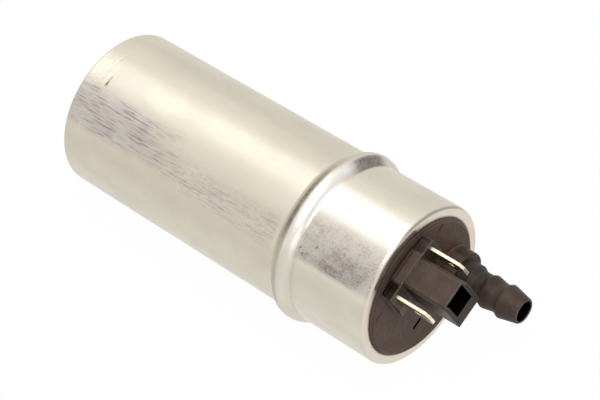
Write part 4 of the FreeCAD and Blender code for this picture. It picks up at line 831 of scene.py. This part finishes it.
dress(braidedCopper(leadLook), "brush_lead_upper", "brush_lead_lower")


# Armature stack: thin steel sheets, seen on edge as even lines.
stackLook = {
    "sheet": (0.330, 0.335, 0.350),
    "joint": (0.110, 0.105, 0.105),
    "rust": (0.240, 0.140, 0.080),
    "sheetPitch": 0.5,
    "roughness": 0.34,
}


def sheetStack(look):
    stack = Finish("stackSheets")
    ripple = stack.wave(stack.x * (2 * math.pi / look["sheetPitch"])) * 0.5 + 0.5
    joint = stack.step(ripple, 0.80, 0.98)
    ground = stack.grain(4.0, stretch=(1, 0.2, 0.2), shift=37)
    rust = stack.marks(0.62, 0.74, 0.6, detail=4, shift=53)
    colour = stack.mix(look["sheet"], look["joint"], joint * 0.8)
    colour = stack.mix(colour, look["rust"], rust * 0.35)
    stack.shade({
        "Base Color": colour,
        "Metallic": 1.0,
        "Roughness": look["roughness"] + joint * 0.2 + ground * 0.12,
        "Normal": stack.bump(ground * 0.4 - joint, 0.03, 0.6),
    })
    return stack


dress(sheetStack(stackLook), "armature_core")


# Resin pieces: end insulators and the commutator's hub.
resinLook = {
    "stackInsulator": {"resin": (0.270, 0.165, 0.070), "cloth": (0.350, 0.235, 0.110),
                       "roughness": 0.44,
                       "pieces": ("core_insulator_rear", "core_insulator_front")},
    "hubResin": {"resin": (0.060, 0.032, 0.020), "cloth": (0.120, 0.075, 0.048),
                 "roughness": 0.40,
                 "pieces": ("commutator_hub",)},
}


def mouldedResin(name, look):
    piece = Finish(name)
    weave = (piece.grain(3.5, stretch=(1, 0.3, 1), shift=17) * 0.5
             + piece.grain(3.5, stretch=(1, 1, 0.3), shift=18) * 0.5)
    speckle = piece.marks(0.66, 0.74, 6.0, detail=1, shift=39)
    shown = piece.step(weave, 0.40, 0.60) * 0.7 + speckle * 0.3
    piece.shade({
        "Base Color": piece.mix(look["resin"], look["cloth"], shown),
        "Roughness": look["roughness"] + (weave - 0.5) * 0.3,
        "Coat Weight": 0.15 + speckle * 0.1,
        "Normal": piece.bump(weave, 0.02, 0.5),
    })
    return piece


for name, look in resinLook.items():
    dress(mouldedResin(name, look), *look["pieces"])


# Commutator face: copper turned flat, with the dark track of the brushes.
faceLook = {
    "copper": (0.700, 0.370, 0.220),
    "film": (0.200, 0.110, 0.075),
    "trackMiddle": 8.6,
    "trackHalf": 3.4,
    "roughness": 0.22,
}


def commutatorCopper(look):
    face = Finish("commutatorCopper")
    rings = face.rings(face.radius(), 5.0, 4)
    half = look["trackHalf"]
    track = face.near(face.radius(), look["trackMiddle"], half - 0.5, half + 0.3)
    film = track * face.step(rings, 0.30, 0.62)
    stain = face.marks(0.45, 0.70, 0.7, detail=4, shift=45)
    face.shade({
        "Base Color": face.mix(look["copper"], look["film"], film * 0.75 + stain * 0.2),
        "Metallic": 1.0,
        "Roughness": look["roughness"] + film * 0.1 + (rings - 0.5) * 0.2,
        "Normal": face.bump(rings, 0.015, 0.6),
    })
    return face


dress(commutatorCopper(faceLook), "commutator")
print("armature finished")


# Springs and brush leads are copied in place of their parts, and the copies hung on the pump's
# body.
yielding = {
    # joint, fixed end along x in mm, slot of the finish
    "check_valve_spring": ("check_valve_lift", 69.1, "spring_steel"),
    "relief_valve_spring": ("relief_valve_lift", 64.1, "spring_steel"),
    "brush_spring_upper": ("brush_upper_slide", 53.0, "spring_steel"),
    "brush_spring_lower": ("brush_lower_slide", 53.0, "spring_steel"),
    "brush_lead_upper": ("brush_upper_slide", 56.5, "copper_braid"),
    "brush_lead_lower": ("brush_lower_slide", 56.5, "copper_braid"),
}


def letYield(name, joint, fixedEnd):
    piece = bpy.data.objects.new(name + "_yielding", nodes[name].data.copy())
    bpy.context.scene.collection.objects.link(piece)
    travel = next(entry["range_m"][1] for entry in frame["joints"] if entry["name"] == joint)
    fixedPlace = fixedEnd / mmPerMetre
    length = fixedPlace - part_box(name)[0].x
    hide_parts(name)
    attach(piece, "pump_body")
    1 - travel / length
    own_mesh(piece)


for name, (joint, fixedEnd, slot) in yielding.items():
    letYield(name, joint, fixedEnd)

print("pieces without a finish:", sorted(set(nodes) - dressed))
